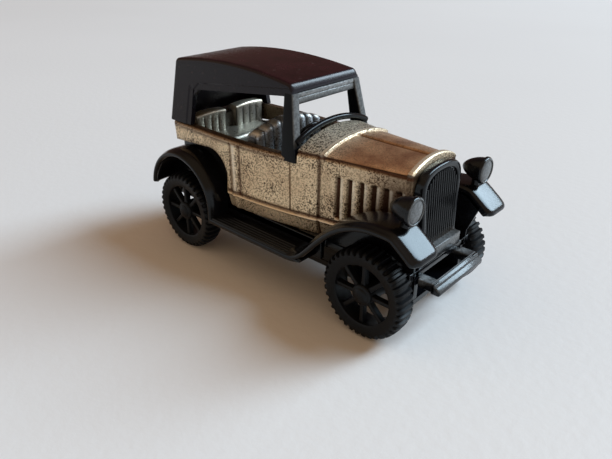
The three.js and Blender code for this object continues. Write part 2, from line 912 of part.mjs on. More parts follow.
function roofRing(x, inset, bottom) {
  const top = roofCrest(x) - (inset > 0 ? roofThickness : 0);
  const round = roofRound;
  const side = roofSide(top) - inset;
  const half = [[roofSide(bottom) - inset, bottom]];
  [0, 1, 2, 3].forEach((step) => {
    const angle = (Math.PI / 2) * (step / 3);
    half.push([side - round * (1 - Math.cos(angle)), top - round * (1 - Math.sin(angle))]);
  });
  return sectionRing(x, half);
}

function roofLoft(start, end, inset, bottom) {
  const steps = 8;
  const rings = [];
  for (let k = 0; k <= steps; k += 1) {
    rings.push(roofRing(start + (end - start) * (k / steps), inset, bottom));
  }
  return loft(rings);
}

function roof() {
  const foot = beltHeight + fitGap;
  const outer = roofLoft(bodyRear, roofNose, 0, foot);
  const inner = roofLoft(bodyRear + roofWall, roofNose - roofWall, roofWall, foot - roofWall);
  const pillar = bodyRear + quarterLength;
  const sideCut = outline([
    [pillar, 0],
    [pillar, beltHeight + windowRearRise - windowCorner],
    [pillar + windowCorner, beltHeight + windowRearRise],
    [roofNose, beltHeight + windowFrontRise],
    [roofNose + windowCorner, beltHeight + windowFrontRise],
    [roofNose + windowCorner, 0],
  ]);
  const lip = cowlBack - postHeadBehind - roofLip;
  const front = block([lip, far], [-far, far], [0, windscreenTop + fitGap]);
  return outer.subtract(inner).subtract(acrossY(sideCut, [-far, far])).subtract(front);
}

// Cabin

// A row of upholstery channels, each round in plan and round over its top, along an arched back.
function channelledBack(back, side, count, foot, top) {
  const [low, high] = side;
  const middle = (low + high) / 2;
  const pitch = (high - low) / count;
  const front = back + backThickness;
  const crest = (y) => top - backArch * ((y - middle) / (high - middle)) ** 2;
  const plan = new THREE.Shape();
  plan.moveTo(back, low);
  const crown = new THREE.Shape();
  crown.moveTo(low, foot);
  crown.lineTo(low, crest(low) - channelDepth);
  for (let k = 0; k < count; k += 1) {
    const start = low + pitch * k;
    plan.lineTo(front - channelDepth, start);
    plan.quadraticCurveTo(front + channelDepth, start + pitch / 2, front - channelDepth, start + pitch);
    crown.quadraticCurveTo(
      start + pitch / 2, crest(start + pitch / 2) + channelDepth,
      start + pitch, crest(start + pitch) - channelDepth,
    );
  }
  plan.lineTo(back, high);
  crown.lineTo(high, foot);
  const options = { depth: top + 1 - foot, bevelEnabled: false, curveSegments: 4 };
  const pleats = new THREE.ExtrudeGeometry(plan, options);
  pleats.translate(0, 0, foot);
  return solid(pleats).intersect(alongX(crown, [back - 1, front + 1]));
}

function cushion(x, half, z) {
  const round = cushionRound;
  const shape = new THREE.Shape();
  shape.moveTo(x[0], z[0]);
  shape.lineTo(x[1], z[0]);
  shape.lineTo(x[1], z[1] - round);
  shape.absarc(x[1] - round, z[1] - round, round, 0, Math.PI / 2);
  shape.lineTo(x[0], z[1]);
  return acrossY(shape, [-half, half]);
}

function cabinHalf(x) {
  return bodySide(x) - sillTuck - bodyWall - seatGap;
}

function frontSeat() {
  const back = cowlBack - frontSeatBehind;
  const end = back + frontSeatLength;
  const half = cabinHalf(end);
  const seat = cushion([back, end], half, [bodyBottom, deckTop + frontCushionHeight]);
  return seat.add(channelledBack(back, [-half, half], channelCount, bodyBottom, beltHeight + frontSeatRise));
}

// The rear bench stands between the wheel arches. Its back has two humps that spread out above them.
function rearSeat() {
  const back = bodyRear + rearTuck + bodyWall + seatGap;
  const end = back + rearSeatLength;
  const baseHalf = apronInner - fitGap - seatGap;
  const ahead = screwRearX + bossRadius + seatGap;
  const above = bodyBottom + screwGrip + bossRadius + seatGap;
  const low = archTop + seatGap;
  const under = beltHeight - rearCushionDrop - cushionRound;
  const base = block([ahead, end], [-baseHalf, baseHalf], [bodyBottom, under]);
  const seat = cushion([back, end], baseHalf, [above, beltHeight - rearCushionDrop]);
  const side = [humpGap / 2, cabinHalf(back)];
  const hump = channelledBack(back, side, humpChannels, low, beltHeight + rearSeatRise);
  const core = block([back, back + backThickness / 2], [-baseHalf, baseHalf], [above, beltHeight]);
  return joined([base, seat, core, bothSides(hump)]);
}

// The column runs forward and down from the steering wheel into a socket in the dash.
function steeringShaft(radius, extra) {
  const tilt = THREE.MathUtils.degToRad(steeringTilt);
  const reach = steeringBehind - dashWall + steeringSocket;
  const long = reach / Math.cos(tilt) + extra;
  const geometry = new THREE.CylinderGeometry(radius, radius, long, smallSteps);
  geometry.rotateZ(-Math.PI / 2);
  geometry.translate(long / 2, 0, 0);
  geometry.rotateY(tilt);
  geometry.translate(cowlBack - steeringBehind, -steeringAside, beltHeight + steeringRise);
  return solid(geometry);
}

function steeringWheel() {
  const tilt = THREE.MathUtils.degToRad(steeringTilt);
  const place = (geometry) => {
    geometry.rotateY(tilt);
    geometry.translate(cowlBack - steeringBehind, -steeringAside, beltHeight + steeringRise);
    return solid(geometry);
  };
  const rim = new THREE.TorusGeometry(steeringRadius, steeringRim, smallSteps / 2, roundSteps - 10);
  rim.rotateY(Math.PI / 2);
  const parts = [place(rim), steeringShaft(steeringColumn, 0)];
  for (let k = 0; k < 2; k += 1) {
    const spoke = new THREE.BoxGeometry(...steeringSpoke, 2 * steeringRadius);
    spoke.rotateX(Math.PI * (k / 2 + 0.25));
    parts.push(place(spoke));
  }
  return joined(parts);
}

// Radiator, lamps and bumper

function radiatorFace(half, foot, low, top) {
  const shape = new THREE.Shape();
  const spring = top - shoulderDrop * half;
  const pull = new THREE.Vector2(shoulderPull.x * half, top - shoulderPull.y * half);
  shape.moveTo(foot, low);
  shape.lineTo(half, spring);
  shape.bezierCurveTo(half, pull.y, pull.x, top, 0, top);
  shape.bezierCurveTo(-pull.x, top, -half, pull.y, -half, spring);
  shape.lineTo(-foot, low);
  return shape;
}

// Everything on the radiator's face leans back about the front edge of its ledge.
function leaned(body) {
  const geometry = geometryOf(body);
  geometry.translate(0, 0, -radiatorLedge);
  geometry.rotateY(-THREE.MathUtils.degToRad(radiatorLean));
  geometry.translate(hoodFront + radiatorDepth, 0, radiatorLedge);
  return solid(geometry);
}

function radiatorGrille() {
  const back = hoodFront + fitGap;
  const top = shoulderHeight + radiatorRise;
  const face = radiatorFace(radiatorHalf, radiatorFoot, bodyBottom, top);
  const front = leaned(block([-far, 0], [-far, far], [0, far]));
  const shell = alongX(face, [back, hoodFront + far]).intersect(front);
  const meshTop = top - meshMargin;
  const mesh = radiatorFace(meshHalf, meshFoot, radiatorLedge + meshDepth, meshTop);
  const recess = leaned(alongX(mesh, [-meshDepth, 1]));
  const bars = [];
  for (let k = 0; k < barCount; k += 1) {
    const y = meshHalf * ((2 * k + 1) / barCount - 1);
    const half = gridBar / 2;
    bars.push(block([-2 * meshDepth, -gridSunk], [y - half, y + half], [radiatorLedge, far]));
  }
  const frame = radiatorFace(meshHalf + gridBar, meshFoot + gridBar, radiatorLedge, meshTop + gridBar);
  const grid = leaned(joined(bars).intersect(alongX(frame, [-3 * meshDepth, 0])));
  const ledge = block([back, hoodFront + radiatorDepth + ledgeAhead], [-radiatorFoot, radiatorFoot],
    [bodyBottom, radiatorLedge]);
  return shell.subtract(recess).add(grid).add(ledge);
}

function wingTopAt(x) {
  const points = frontWingCurve();
  const k = points.findIndex((point) => point.x > x);
  const [before, after] = [points[k - 1], points[k]];
  const part = (x - before.x) / (after.x - before.x);
  return before.y + (after.y - before.y) * part + wingCrown;
}

function headlamp() {
  const foot = wingTopAt(lampX);
  const centre = foot + lampStand + lampRadius;
  const glass = lampRadius - lampRim;
  const rimBack = lampLength - lampRimWidth;
  const profile = new THREE.Path();
  profile.moveTo(0, 0);
  profile.bezierCurveTo(lampTail, 0, lampBelly.x, lampBelly.y, glass, rimBack);
  const bowl = profile.getPoints(4);
  const points = [
    ...bowl,
    new THREE.Vector2(lampRadius, rimBack),
    new THREE.Vector2(lampRadius, lampLength),
    new THREE.Vector2(glass, lampLength),
    new THREE.Vector2(glass, lampLength - lampGlassDip),
    new THREE.Vector2(0, lampLength - lampGlassDip),
  ];
  const geometry = new THREE.LatheGeometry(points, roundSteps - 8);
  geometry.rotateZ(-Math.PI / 2);
  geometry.translate(lampX - lampBehind, lampAside, centre);
  const peg = upright(lampPeg, lampX, lampAside, [foot - wingWall - wingCrown, centre]);
  return solid(geometry).add(peg);
}

function frontBumper() {
  const front = frontAxle + bumperReach;
  const bumperHigh = deckBottom - bumperDrop + bumperHeight;
  const bumperLow = deckBottom - bumperDrop;
  const shape = new THREE.Shape();
  const inset = bumperRound;
  shape.moveTo(front - bumperDepth, bumperLow);
  shape.lineTo(front - inset, bumperLow);
  shape.quadraticCurveTo(front, bumperLow, front, bumperLow + inset);
  shape.lineTo(front, bumperHigh - inset);
  shape.quadraticCurveTo(front, bumperHigh, front - inset, bumperHigh);
  shape.lineTo(front - bumperDepth, bumperHigh);
  const bar = acrossY(shape, [-bumperHalf, bumperHalf]);
  const top = deckBottom - fitGap;
  const outer = railOuter - railWidth - fitGap;
  const long = [frontAxle + armRoot, front - bumperDepth / 2];
  const arm = block(long, [outer - armWidth, outer], [top - armHeight, top]);
  const ahead = [deckFront + fitGap, front - bumperDepth / 2];
  const flare = block(ahead, [bumperHalf - armFlare, bumperHalf], [top - armHeight, top]);
  return bar.add(bothSides(arm.add(flare)));
}

// Running gear

// One ring of the tread: a cleat stands out of each step round the tyre.
function treadRing(y, inset) {
  const root = tyreRadius - cleatDepth;
  const foot = cleatFoot / 2;
  const top = cleatTop / 2;
  const corners = [[-foot, root], [-top, tyreRadius], [top, tyreRadius], [foot, root]];
  const ring = [];
  for (let k = 0; k < cleatCount; k += 1) {
    corners.forEach(([part, radius]) => {
      const angle = (2 * Math.PI * (k + part)) / cleatCount;
      const reach = radius - inset;
      ring.push(new THREE.Vector3(reach * Math.cos(angle), y, reach * Math.sin(angle)));
    });
  }
  return ring;
}

function tyre() {
  const half = tyreWidth / 2;
  const straight = half - tyreShoulder;
  const rings = [[-half, tyreShoulder], [-straight, 0], [straight, 0], [half, tyreShoulder]];
  const bore = crosswise(tyreRadius - tyreWall, 0, [-far, far], 0);
  return loft(rings.map(([y, inset]) => treadRing(y, inset))).subtract(bore);
}

// The wheel's outer side faces +Y, with its middle plane at y = 0 and its axis along Y.
function wheel() {
  const half = tyreWidth / 2;
  const rimOuter = tyreRadius - tyreWall + rimWall;
  const rimInner = tyreRadius - tyreWall - rimWall;
  const rimFace = half - rimInset;
  const ring = [[rimInner, -rimFace], [rimOuter, -rimFace], [rimOuter, rimFace], [rimInner, rimFace]];
  ring.push(ring[0]);
  const rim = new THREE.LatheGeometry(ring.map((point) => new THREE.Vector2(...point)), roundSteps);
  const hubStart = railOuter + sidePlay - wheelMiddle;
  const hubEnd = rimFace;
  const hubProfile = [
    [0, hubStart],
    [hubRadius, hubStart],
    [hubRadius, hubEnd],
    [hubCap, hubEnd + hubDome],
    [0, hubEnd + hubDome],
  ];
  const hub = new THREE.LatheGeometry(hubProfile.map((point) => new THREE.Vector2(...point)), smallSteps);
  const parts = [tyre(), solid(rim), solid(hub)];
  for (let k = 0; k < spokeCount / 2; k += 1) {
    const spoke = new THREE.BoxGeometry(2 * rimInner + rimWall, spokeDepth, spokeWidth);
    spoke.translate(0, rimFace - rimInset - spokeDepth / 2, 0);
    spoke.rotateY((2 * Math.PI * k) / spokeCount);
    parts.push(solid(spoke));
  }
  const bore = crosswise(axleRadius + pressGap, 0, [-far, axleGrip + pressGap], 0);
  return joined(parts).subtract(bore);
}

function axle(x) {
  const half = wheelMiddle + axleGrip;
  return crosswise(axleRadius, x, [-half, half], axleHeight);
}

// Assembly

const looks = {
  brass: [0x9a8a68, 0.42, 0.85],
  leather: [0x5b5a50, 0.45, 0.75],
  black: [0x141414, 0.32, 0.0],
  top: [0x231517, 0.5, 0.0],
  tyre: [0x17181a, 0.6, 0.0],
  steel: [0xb9bbbd, 0.3, 1.0],
};

function piece(name, body, look) {
  const [color, roughness, metalness] = looks[look];
  const material = new THREE.MeshStandardMaterial({ color, roughness, metalness });
  const mesh = new THREE.Mesh(geometryOf(body), material);
  mesh.name = name;
  return mesh;
}

const car = new THREE.Group();
car.name = "toy_car";

car.add(piece("body_shell", bodyShell(), "brass"));
car.add(piece("fender_unit", fenderUnit(), "black"));
car.add(piece("base_plate", basePlate(), "black"));
car.add(piece("base_screw_front", screw(screwFrontX), "steel"));
car.add(piece("base_screw_rear", screw(screwRearX), "steel"));
car.add(piece("front_seat", frontSeat(), "leather"));
car.add(piece("rear_seat", rearSeat(), "leather"));
car.add(piece("steering_wheel", steeringWheel(), "black"));
car.add(piece("windscreen_frame", windscreenFrame(), "black"));
car.add(piece("roof", roof(), "top"));
car.add(piece("radiator_grille", radiatorGrille(), "black"));
car.add(piece("front_bumper", frontBumper(), "black"));

const lamp = headlamp();
car.add(piece("headlamp_left", lamp, "black"));
car.add(piece("headlamp_right", mirrored(lamp), "black"));

const wheelSolid = wheel();
[["front", frontAxle], ["rear", rearAxle]].forEach(([end, x]) => {
  car.add(piece(`${end}_axle`, axle(x), "steel"));
  [["left", wheelSolid, 1], ["right", mirrored(wheelSolid), -1]].forEach(([side, body, sign]) => {
    const mesh = piece(`wheel_${end}_${side}`, body, "tyre");
    mesh.position.set(x, sign * wheelMiddle, axleHeight);
    car.add(mesh);
  });
});

const reach = new THREE.Box3().setFromObject(car);
car.position.set(-(reach.min.x + reach.max.x) / 2, 0, -reach.min.z);

export default car;
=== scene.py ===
import math

import bpy
import numpy as np
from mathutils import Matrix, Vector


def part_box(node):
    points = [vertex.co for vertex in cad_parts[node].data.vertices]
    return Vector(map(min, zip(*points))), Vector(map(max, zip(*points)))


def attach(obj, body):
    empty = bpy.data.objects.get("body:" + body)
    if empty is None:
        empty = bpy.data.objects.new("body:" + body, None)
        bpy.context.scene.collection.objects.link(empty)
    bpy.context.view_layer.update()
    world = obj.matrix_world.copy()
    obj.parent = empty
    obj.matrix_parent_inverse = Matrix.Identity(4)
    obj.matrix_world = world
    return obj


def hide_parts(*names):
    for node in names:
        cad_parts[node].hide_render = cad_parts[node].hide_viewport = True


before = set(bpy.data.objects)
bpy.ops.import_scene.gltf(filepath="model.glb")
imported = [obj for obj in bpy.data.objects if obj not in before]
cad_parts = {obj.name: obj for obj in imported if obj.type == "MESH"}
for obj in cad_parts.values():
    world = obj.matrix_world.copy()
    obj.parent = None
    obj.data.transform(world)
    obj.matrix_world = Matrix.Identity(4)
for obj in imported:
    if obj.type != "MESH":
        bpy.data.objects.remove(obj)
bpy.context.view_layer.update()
scene = bpy.context.scene
scene.view_settings.view_transform = "Standard"

# Camera, table top and daylight.
# The car stands on a pale table in soft, cool daylight from ahead and from its left, among warmer light all
# round. The camera is close above its right front corner, as a hand-held phone would be.
millimetres, axle_height = 1000, 5.75
front_axle_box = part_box("front_axle")
rear_axle_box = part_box("rear_axle")
wheelbase_middle = millimetres * np.mean([corner.x for corner in (*front_axle_box, *rear_axle_box)])
ground_drop = millimetres * np.mean([corner.z for corner in front_axle_box]) - axle_height
car_place = np.array([wheelbase_middle, 0.0, ground_drop])


def to_row(skin):
    """Millimetres from the middle of the wheelbase, on the ground, to metres in the car's own frame."""
    return (np.asarray(skin, float) + car_place) / millimetres


def link(name, data):
    """Puts a new object with this data into the scene."""
    thing = bpy.data.objects.new(name, data)
    scene.collection.objects.link(thing)
    return thing


def unit(lines):
    """Lines divided by their lengths."""
    return lines / np.maximum(np.linalg.norm(lines, axis=-1, keepdims=True), 1e-9)


def aim(thing, place, back, roll):
    """Puts a camera or lamp at place. Its back lies along a unit line, and roll turns it round that line."""
    level = unit(np.cross([0.0, 0.0, 1.0], back))
    side = math.cos(roll) * level + math.sin(roll) * np.cross(back, level)
    matrix = np.eye(4)
    matrix[:3] = np.stack([side, np.cross(back, side), back, place], 1)
    thing.matrix_world = matrix.T.tolist()


view_azimuth, view_elevation, view_roll = np.radians([41.828, 27.709, 0.514])
view_distance, view_target = 83.739, np.array([-0.938, 0.0, 4.393])
focal_pixels, image_width, sensor_width = 576.204, 612, 36.0
toward_camera = np.array([
    math.sin(view_azimuth) * math.cos(view_elevation),
    -math.cos(view_azimuth) * math.cos(view_elevation),
    math.sin(view_elevation),
])
camera_data = bpy.data.cameras.new("camera")
camera_data.sensor_fit = "HORIZONTAL"
camera_data.sensor_width = sensor_width
camera_data.lens = focal_pixels / image_width * sensor_width
camera_data.clip_start, camera_data.clip_end = 0.005, 20
scene.camera = link("camera", camera_data)
aim(scene.camera, to_row(view_target + view_distance * toward_camera), toward_camera, view_roll)

light_place, light_target, light_lean = np.array([0.928, 1.396, 1.441]), [0.0, 0.0, 0.015], math.radians(-55)
light_data = bpy.data.lights.new("window", "AREA")
light_data.shape = "RECTANGLE"
light_data.size, light_data.size_y = 1.75, 0.72
light_data.energy, light_data.color = 67.5, (0.66, 0.83, 0.965)
aim(link("window", light_data), light_place, unit(light_place - light_target), light_lean)


def fill(tree, node, inputs):
    """Gives a node its inputs: the output of another node is linked, a constant is set."""
    for key, value in inputs.items():
        if isinstance(value, bpy.types.NodeSocket):
            tree.links.new(value, node.inputs[key])
        else:
            node.inputs[key].default_value = value


def add_node(tree, kind, output, inputs, **settings):
    """A shader node with its settings and inputs. Returns the output that is asked for."""
    node = tree.nodes.new("ShaderNode" + kind)
    for key, value in settings.items():
        setattr(node, key, value)
    fill(tree, node, inputs)
    return node.outputs[output]


def ramp(tree, value, *stops):
    """A colour ramp over a value, through two stops: each a place from 0 to 1 and a grey level or a colour."""
    node = tree.nodes.new("ShaderNodeValToRGB")
    for element, (place, level) in zip(node.color_ramp.elements, stops):
        element.position = place
        element.color = (*level, 1) if isinstance(level, tuple) else (level, level, level, 1)
    fill(tree, node, {"Fac": value})
    return node.outputs["Color"]


def blend(tree, factor, a, b):
    """Colour a mixed into colour b by a factor; each may be an output or a constant."""
    a, b = ((*colour, 1) if isinstance(colour, tuple) else colour for colour in (a, b))
    return add_node(tree, "Mix", "Result", {"Factor": factor, "A": a, "B": b}, data_type="RGBA")


def reckon(tree, operation, *values):
    """One step of arithmetic, kept between 0 and 1; each value may be an output or a constant."""
    return add_node(tree, "Math", "Value", dict(enumerate(values)), operation=operation, use_clamp=True)


def daylight():
    """Warm light all round, darker and redder behind the car's left. The camera sees a plain pale backdrop. Rays
    off shiny faces and through clear ones see it too, low down and away from the dark side."""
    dark_side, backdrop = (-0.59, 0.66, 0.46), (0.69, 0.69, 0.70)
    world = bpy.data.worlds.new("daylight")
    world.use_nodes = True
    tree = world.node_tree
    place = add_node(tree, "TexCoord", "Generated", {})
    toward = add_node(tree, "VectorMath", "Value", {0: place, 1: dark_side}, operation="DOT_PRODUCT")
    tone = ramp(tree, toward, (0.5, (0.475, 0.322, 0.20)), (0.86, (0.115, 0.063, 0.052)))
    low_down = ramp(tree, add_node(tree, "SeparateXYZ", "Z", {"Vector": place}), (0.27, 1.0), (0.4, 0.0))
    pale = reckon(tree, "MULTIPLY", low_down, ramp(tree, toward, (0.4, 1.0), (0.7, 0.0)))
    rays = tree.nodes.new("ShaderNodeLightPath").outputs
    shiny = reckon(tree, "ADD", rays["Is Glossy Ray"], rays["Is Transmission Ray"])
    share = reckon(tree, "MULTIPLY_ADD", shiny, pale, rays["Is Camera Ray"])
    fill(tree, tree.nodes["Background"], {"Color": blend(tree, share, tone, backdrop)})
    return world


scene.world = daylight()


def new_material(name):
    """An empty node material and its node tree."""
    material = bpy.data.materials.new(name)
    material.use_nodes = True
    return material, material.node_tree


def coated(material, inputs):
    """The material, once its surface shader has these inputs."""
    fill(material.node_tree, material.node_tree.nodes["Principled BSDF"], inputs)
    return material


def noise(tree, scale, detail, roughness=0.5, place=None):
    """Smooth noise over the object's own coordinates, or over a place that is given."""
    if place is None:
        place = add_node(tree, "TexCoord", "Object", {})
    inputs = {"Vector": place, "Scale": scale, "Detail": detail, "Roughness": roughness}
    return add_node(tree, "TexNoise", "Fac", inputs)


def bump(tree, height, strength, distance):
    """Fine relief from a height, for a shader's normal."""
    return add_node(tree, "Bump", "Normal", {"Height": height, "Strength": strength, "Distance": distance})


def table_material():
    """Pale laminate: nearly even colour with a fine pebbled bump."""
    material, tree = new_material("table_laminate")
    tone = ramp(tree, noise(tree, 9.0, 2.0), (0.3, (0.755, 0.76, 0.765)), (0.7, (0.775, 0.78, 0.785)))
    pebble = bump(tree, noise(tree, 700.0, 3.0), 0.12, 0.0004)
    return coated(material, {"Base Color": tone, "Roughness": 0.6, "Normal": pebble})


table_half = 3.0
table_corners = table_half * np.array([(-1, -1, 0), (1, -1, 0), (1, 1, 0), (-1, 1, 0)])
table_mesh = bpy.data.meshes.new("table")
table_mesh.from_pydata(table_corners.tolist(), [], [(0, 1, 2, 3)])
table_mesh.materials.append(table_material())
table = link("table", table_mesh)

# Chassis moulding with wings and running boards.
# One black plastic moulding: four crowned wings, ribbed running boards between them, a flat deck under
# the body, two rails that carry the axles, and a wall beside each wheel. The body sits on its deck.


def points(*coordinates):
    """Points from their coordinates, each repeated to the shape of the others."""
    return np.stack(np.broadcast_arrays(*coordinates), -1)


def circle(angle):
    """Points on a circle of radius 1: cosine and sine."""
    return points(np.cos(angle), np.sin(angle))


def tube_shell(rings, closed=False):
    """A closed skin through a row of rings: quads join each ring to the next. A flat face closes each end, or
    the last ring joins the first, as round a tyre."""
    count, size = rings.shape[:2]
    index = np.arange(count * size).reshape(count, size)
    here = index if closed else index[:-1]
    there = np.roll(index, -1, 0) if closed else index[1:]
    quads = np.stack([here, np.roll(here, -1, 1), np.roll(there, -1, 1), there], -1).reshape(-1, 4)
    return rings.reshape(-1, 3), quads, [] if closed else [index[0][::-1], index[-1]]


def skin_points(shells):
    """All points of several skins, in their order."""
    return np.concatenate([skin for skin, _, _ in shells])


def enclosed_volume(skin, quads, caps):
    """Sum of the signed volumes of the cones from the origin to every triangle of the skin."""
    fans = [np.stack([np.full(len(cap) - 2, cap[0]), cap[1:-1], cap[2:]], 1) for cap in caps]
    triangles = np.concatenate([quads[:, [0, 1, 2]], quads[:, [0, 2, 3]], *fans])
    a, b, c = (skin[triangles[:, k]] for k in range(3))
    return np.einsum("ij,ij->i", a, np.cross(b, c)).sum()


def add_piece(name, shells, material, body, node, marks=None, crease=38):
    """One smooth-shaded object from closed skins, in millimetres, that stands for a CAD node on a body.
    Marks are named values, one for each point, that its material reads."""
    faces, start = [], 0
    for skin, quads, caps in shells:
        outward = enclosed_volume(skin - skin.mean(0), quads, caps) > 0
        turn = slice(None) if outward else slice(None, None, -1)
        faces += (quads[:, turn] + start).tolist() + [(cap[turn] + start).tolist() for cap in caps]
        start += len(skin)
    mesh = bpy.data.meshes.new(name)
    mesh.from_pydata(to_row(skin_points(shells)).tolist(), [], faces)
    mesh.shade_smooth()
    mesh.set_sharp_from_angle(angle=math.radians(crease))
    for mark, values in (marks or {}).items():
        layer = mesh.attributes.new(mark, "FLOAT", "POINT")
        layer.data.foreach_set("value", np.asarray(values, np.float32).ravel())
    mesh.materials.append(material)
    piece = link(name, mesh)
    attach(piece, body)
    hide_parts(node)


def mirrored(shells):
    """The same skins on the car's other side."""
    return [(skin * [1, -1, 1], quads, caps) for skin, quads, caps in shells]


def bezier(a, b, c, d, count):
    """Points on a cubic curve from a to d, drawn towards b and then c."""
    t = np.linspace(0, 1, count)[:, None]
    a, b, c, d = np.array([a, b, c, d], float)
    return (1 - t) ** 3 * a + 3 * t * (1 - t) ** 2 * b + 3 * t ** 2 * (1 - t) * c + t ** 3 * d


def rounded(corners, radius, steps=4):
    """A closed outline whose corners are cut back by radius and bridged by parabolas."""
    corners = np.asarray(corners, float)
    before = np.roll(corners, 1, 0) - corners
    after = np.roll(corners, -1, 0) - corners
    shorter = np.minimum(*(np.linalg.norm(side, axis=1, keepdims=True) for side in (before, after)))
    cut = np.minimum(np.reshape(radius, (-1, 1)), 0.49 * shorter)
    start = (corners + unit(before) * cut)[:, None]
    end = (corners + unit(after) * cut)[:, None]
    t = np.linspace(0, 1, steps + 1)[None, :, None]
    return ((1 - t) ** 2 * start + 2 * t * (1 - t) * corners[:, None] + t ** 2 * end).reshape(-1, 2)


def oblong(across, up, radius, steps=4):
    """A rectangle with rounded corners, between two places across and two places up."""
    (left, right), (low, high) = across, up
    return rounded([(left, low), (right, low), (right, high), (left, high)], radius, steps)


def drawn_in(outline, inset):
    """An outline moved inwards along the normals at its points."""
    before, after = np.roll(outline, 1, 0), np.roll(outline, -1, 0)
    along = unit(after - before)
    area = np.sum(outline[:, 0] * after[:, 1] - after[:, 0] * outline[:, 1])
    return outline + points(-along[:, 1], along[:, 0]) * inset * np.sign(area)


def slab(outline, span, edge, axes=(0, 2, 1)):
    """An outline carried straight from span[0] to span[1], with rounded edges at both ends.
    Axes gives where the outline's two coordinates and the carry go in x, y and z."""
    turn = np.linspace(math.pi / 2, 0, 4)
    lead, inset = edge * (1 - np.sin(turn)), edge * (1 - np.cos(turn))
    places = np.concatenate([span[0] + lead, span[1] - lead[::-1]])
    rings = np.zeros((len(places), len(outline), 3))
    for ring, place, depth in zip(rings, places, np.concatenate([inset, inset[::-1]])):
        ring[:, axes[:2]] = drawn_in(outline, depth)
        ring[:, axes[2]] = place
    return tube_shell(rings)


def mark_value(tree, name):
    """The value of a mark on the points of a piece."""
    return add_node(tree, "Attribute", "Fac", {}, attribute_name=name)


def black_plastic(name, shade, gloss, shine, dust):
    """Moulded black plastic: slightly uneven gloss, fine moulding grain and a little pale dust. A mark on the
    points tells where a grey sheen is painted on its face, a painted reflection of the pale table."""
    dust_colour, sheen_grey, cool_shine = (0.06, 0.055, 0.05), (0.26, 0.285, 0.30), (0.87, 0.96, 1.0, 1)
    material, tree = new_material(name)
    cloud, specks = noise(tree, 260.0, 4.0, 0.6), noise(tree, 2600.0, 3.0, 0.7)
    darker, paler = (tuple(share * level for level in shade) for share in (0.75, 1.3))
    tone = ramp(tree, cloud, (0.3, darker), (0.7, paler))
    dusty = blend(tree, ramp(tree, specks, (0.62, 0.0), (0.78, dust)), tone, dust_colour)
    uneven = ramp(tree, specks, (0.36, 0.5), (0.62, 1.0))
    # Painted reflection: a speckled grey sheen where the mark says, for the pale table seen in the gloss.
    painted_sheen = reckon(tree, "MULTIPLY", uneven, mark_value(tree, "painted_sheen"))
    return coated(material, {
        "Base Color": blend(tree, painted_sheen, dusty, sheen_grey),
        "Roughness": ramp(tree, cloud, (0.3, 0.8 * gloss), (0.75, 1.35 * gloss)),
        "Specular IOR Level": shine,
        "Specular Tint": cool_shine,
        "Normal": bump(tree, noise(tree, 5200.0, 2.0), 0.12, 0.00004),
    })


chassis_black = black_plastic("chassis_black", (0.0038, 0.0042, 0.0058), 0.17, 0.295, 0.2)

axle_x, wheel_house = 16.4, 6.8
deck_rear, deck_front, deck_side, deck_top, deck_under = -19.7, 20.8, 7.6, 8.9, 7.9
board_span, board_inner, board_top, board_under = (-9.6, 8.35), 6.9, 7.25, 6.35
wing_inner, wing_outer, wing_wall, wing_crown = 5.8, 10.7, 0.7, 0.35
wing_heel, wing_flank, wing_crest = (5.2, board_top), (10.6, 11.7), (18.0, 15.1)
wing_bend, wing_fall, wing_tip = (20.55, 14.85), (23.0, 12.95), (23.4, 12.3)
front_wing_path = np.concatenate([
    bezier(wing_heel, (7.1, board_top), (7.8, 8.9), wing_flank, 26),
    bezier(wing_flank, (12.55, 13.68), (15.3, 15.1), wing_crest, 30)[1:],
    bezier(wing_crest, (19.2, 15.1), (20.15, 15.14), wing_bend, 20)[1:],
    bezier(wing_bend, (21.35, 14.28), (22.25, 13.6), wing_fall, 20)[1:],
    bezier(wing_fall, (23.25, 12.76), (23.36, 12.55), wing_tip, 8)[1:],
])
rear_wing_centre, rear_wing_radius, rear_wing_start = np.array([-16.0, 8.35]), 6.735, math.pi - 0.074
rear_wing_heel = rear_wing_centre[0] + rear_wing_radius
rear_wing_path = np.concatenate([
    rear_wing_centre + rear_wing_radius * circle(np.linspace(rear_wing_start, 0, 70)),
    np.linspace((rear_wing_heel, 8.1), (rear_wing_heel, board_under), 7),
])


def wing_shell(path, tip_round, tip_last, flatness):
    """A crowned sheet carried along a side curve. Across it the crown is an even power, and its outer edge is
    a half round. Its free end is drawn in by a quarter circle in plan and thinned by another in section."""
    along = unit(np.gradient(path, axis=0))
    steps = np.linalg.norm(np.diff(path, axis=0), axis=1)
    travelled = np.concatenate([[0], np.cumsum(steps)])
    left = (travelled[-1] - travelled if tip_last else travelled)[:, None]
    reach = np.clip(tip_round - left, 0, tip_round)
    drawn = 0.8 * (tip_round - np.sqrt(tip_round ** 2 - reach ** 2))
    edge = wing_wall / 2
    thin = np.sqrt(1 - np.clip(1 - left / edge, 0, 0.97) ** 2)
    across = np.linspace(0, 1, 22)
    level = np.zeros(len(across))
    turn = np.linspace(math.pi / 2, -math.pi / 2, 9)[1:-1]
    width_part = np.concatenate([across, np.ones(len(turn)), across[::-1]])
    bulge = np.concatenate([level, edge * np.cos(turn), level])
    depth = np.concatenate([level, edge - edge * np.sin(turn), level + wing_wall])
    inner, outer = wing_inner + drawn, wing_outer - edge - drawn
    y = inner + (outer - inner) * width_part + bulge * thin
    swell = wing_crown * (1 - (2 * width_part - 1) ** flatness) - edge - (depth - edge) * thin
    return tube_shell(points(path[:, :1] - along[:, 1:] * swell, y, path[:, 1:] + along[:, :1] * swell))


front_wing = wing_shell(front_wing_path, 1.1, True, 8)
rear_wing = wing_shell(rear_wing_path, 0.5, False, 4)

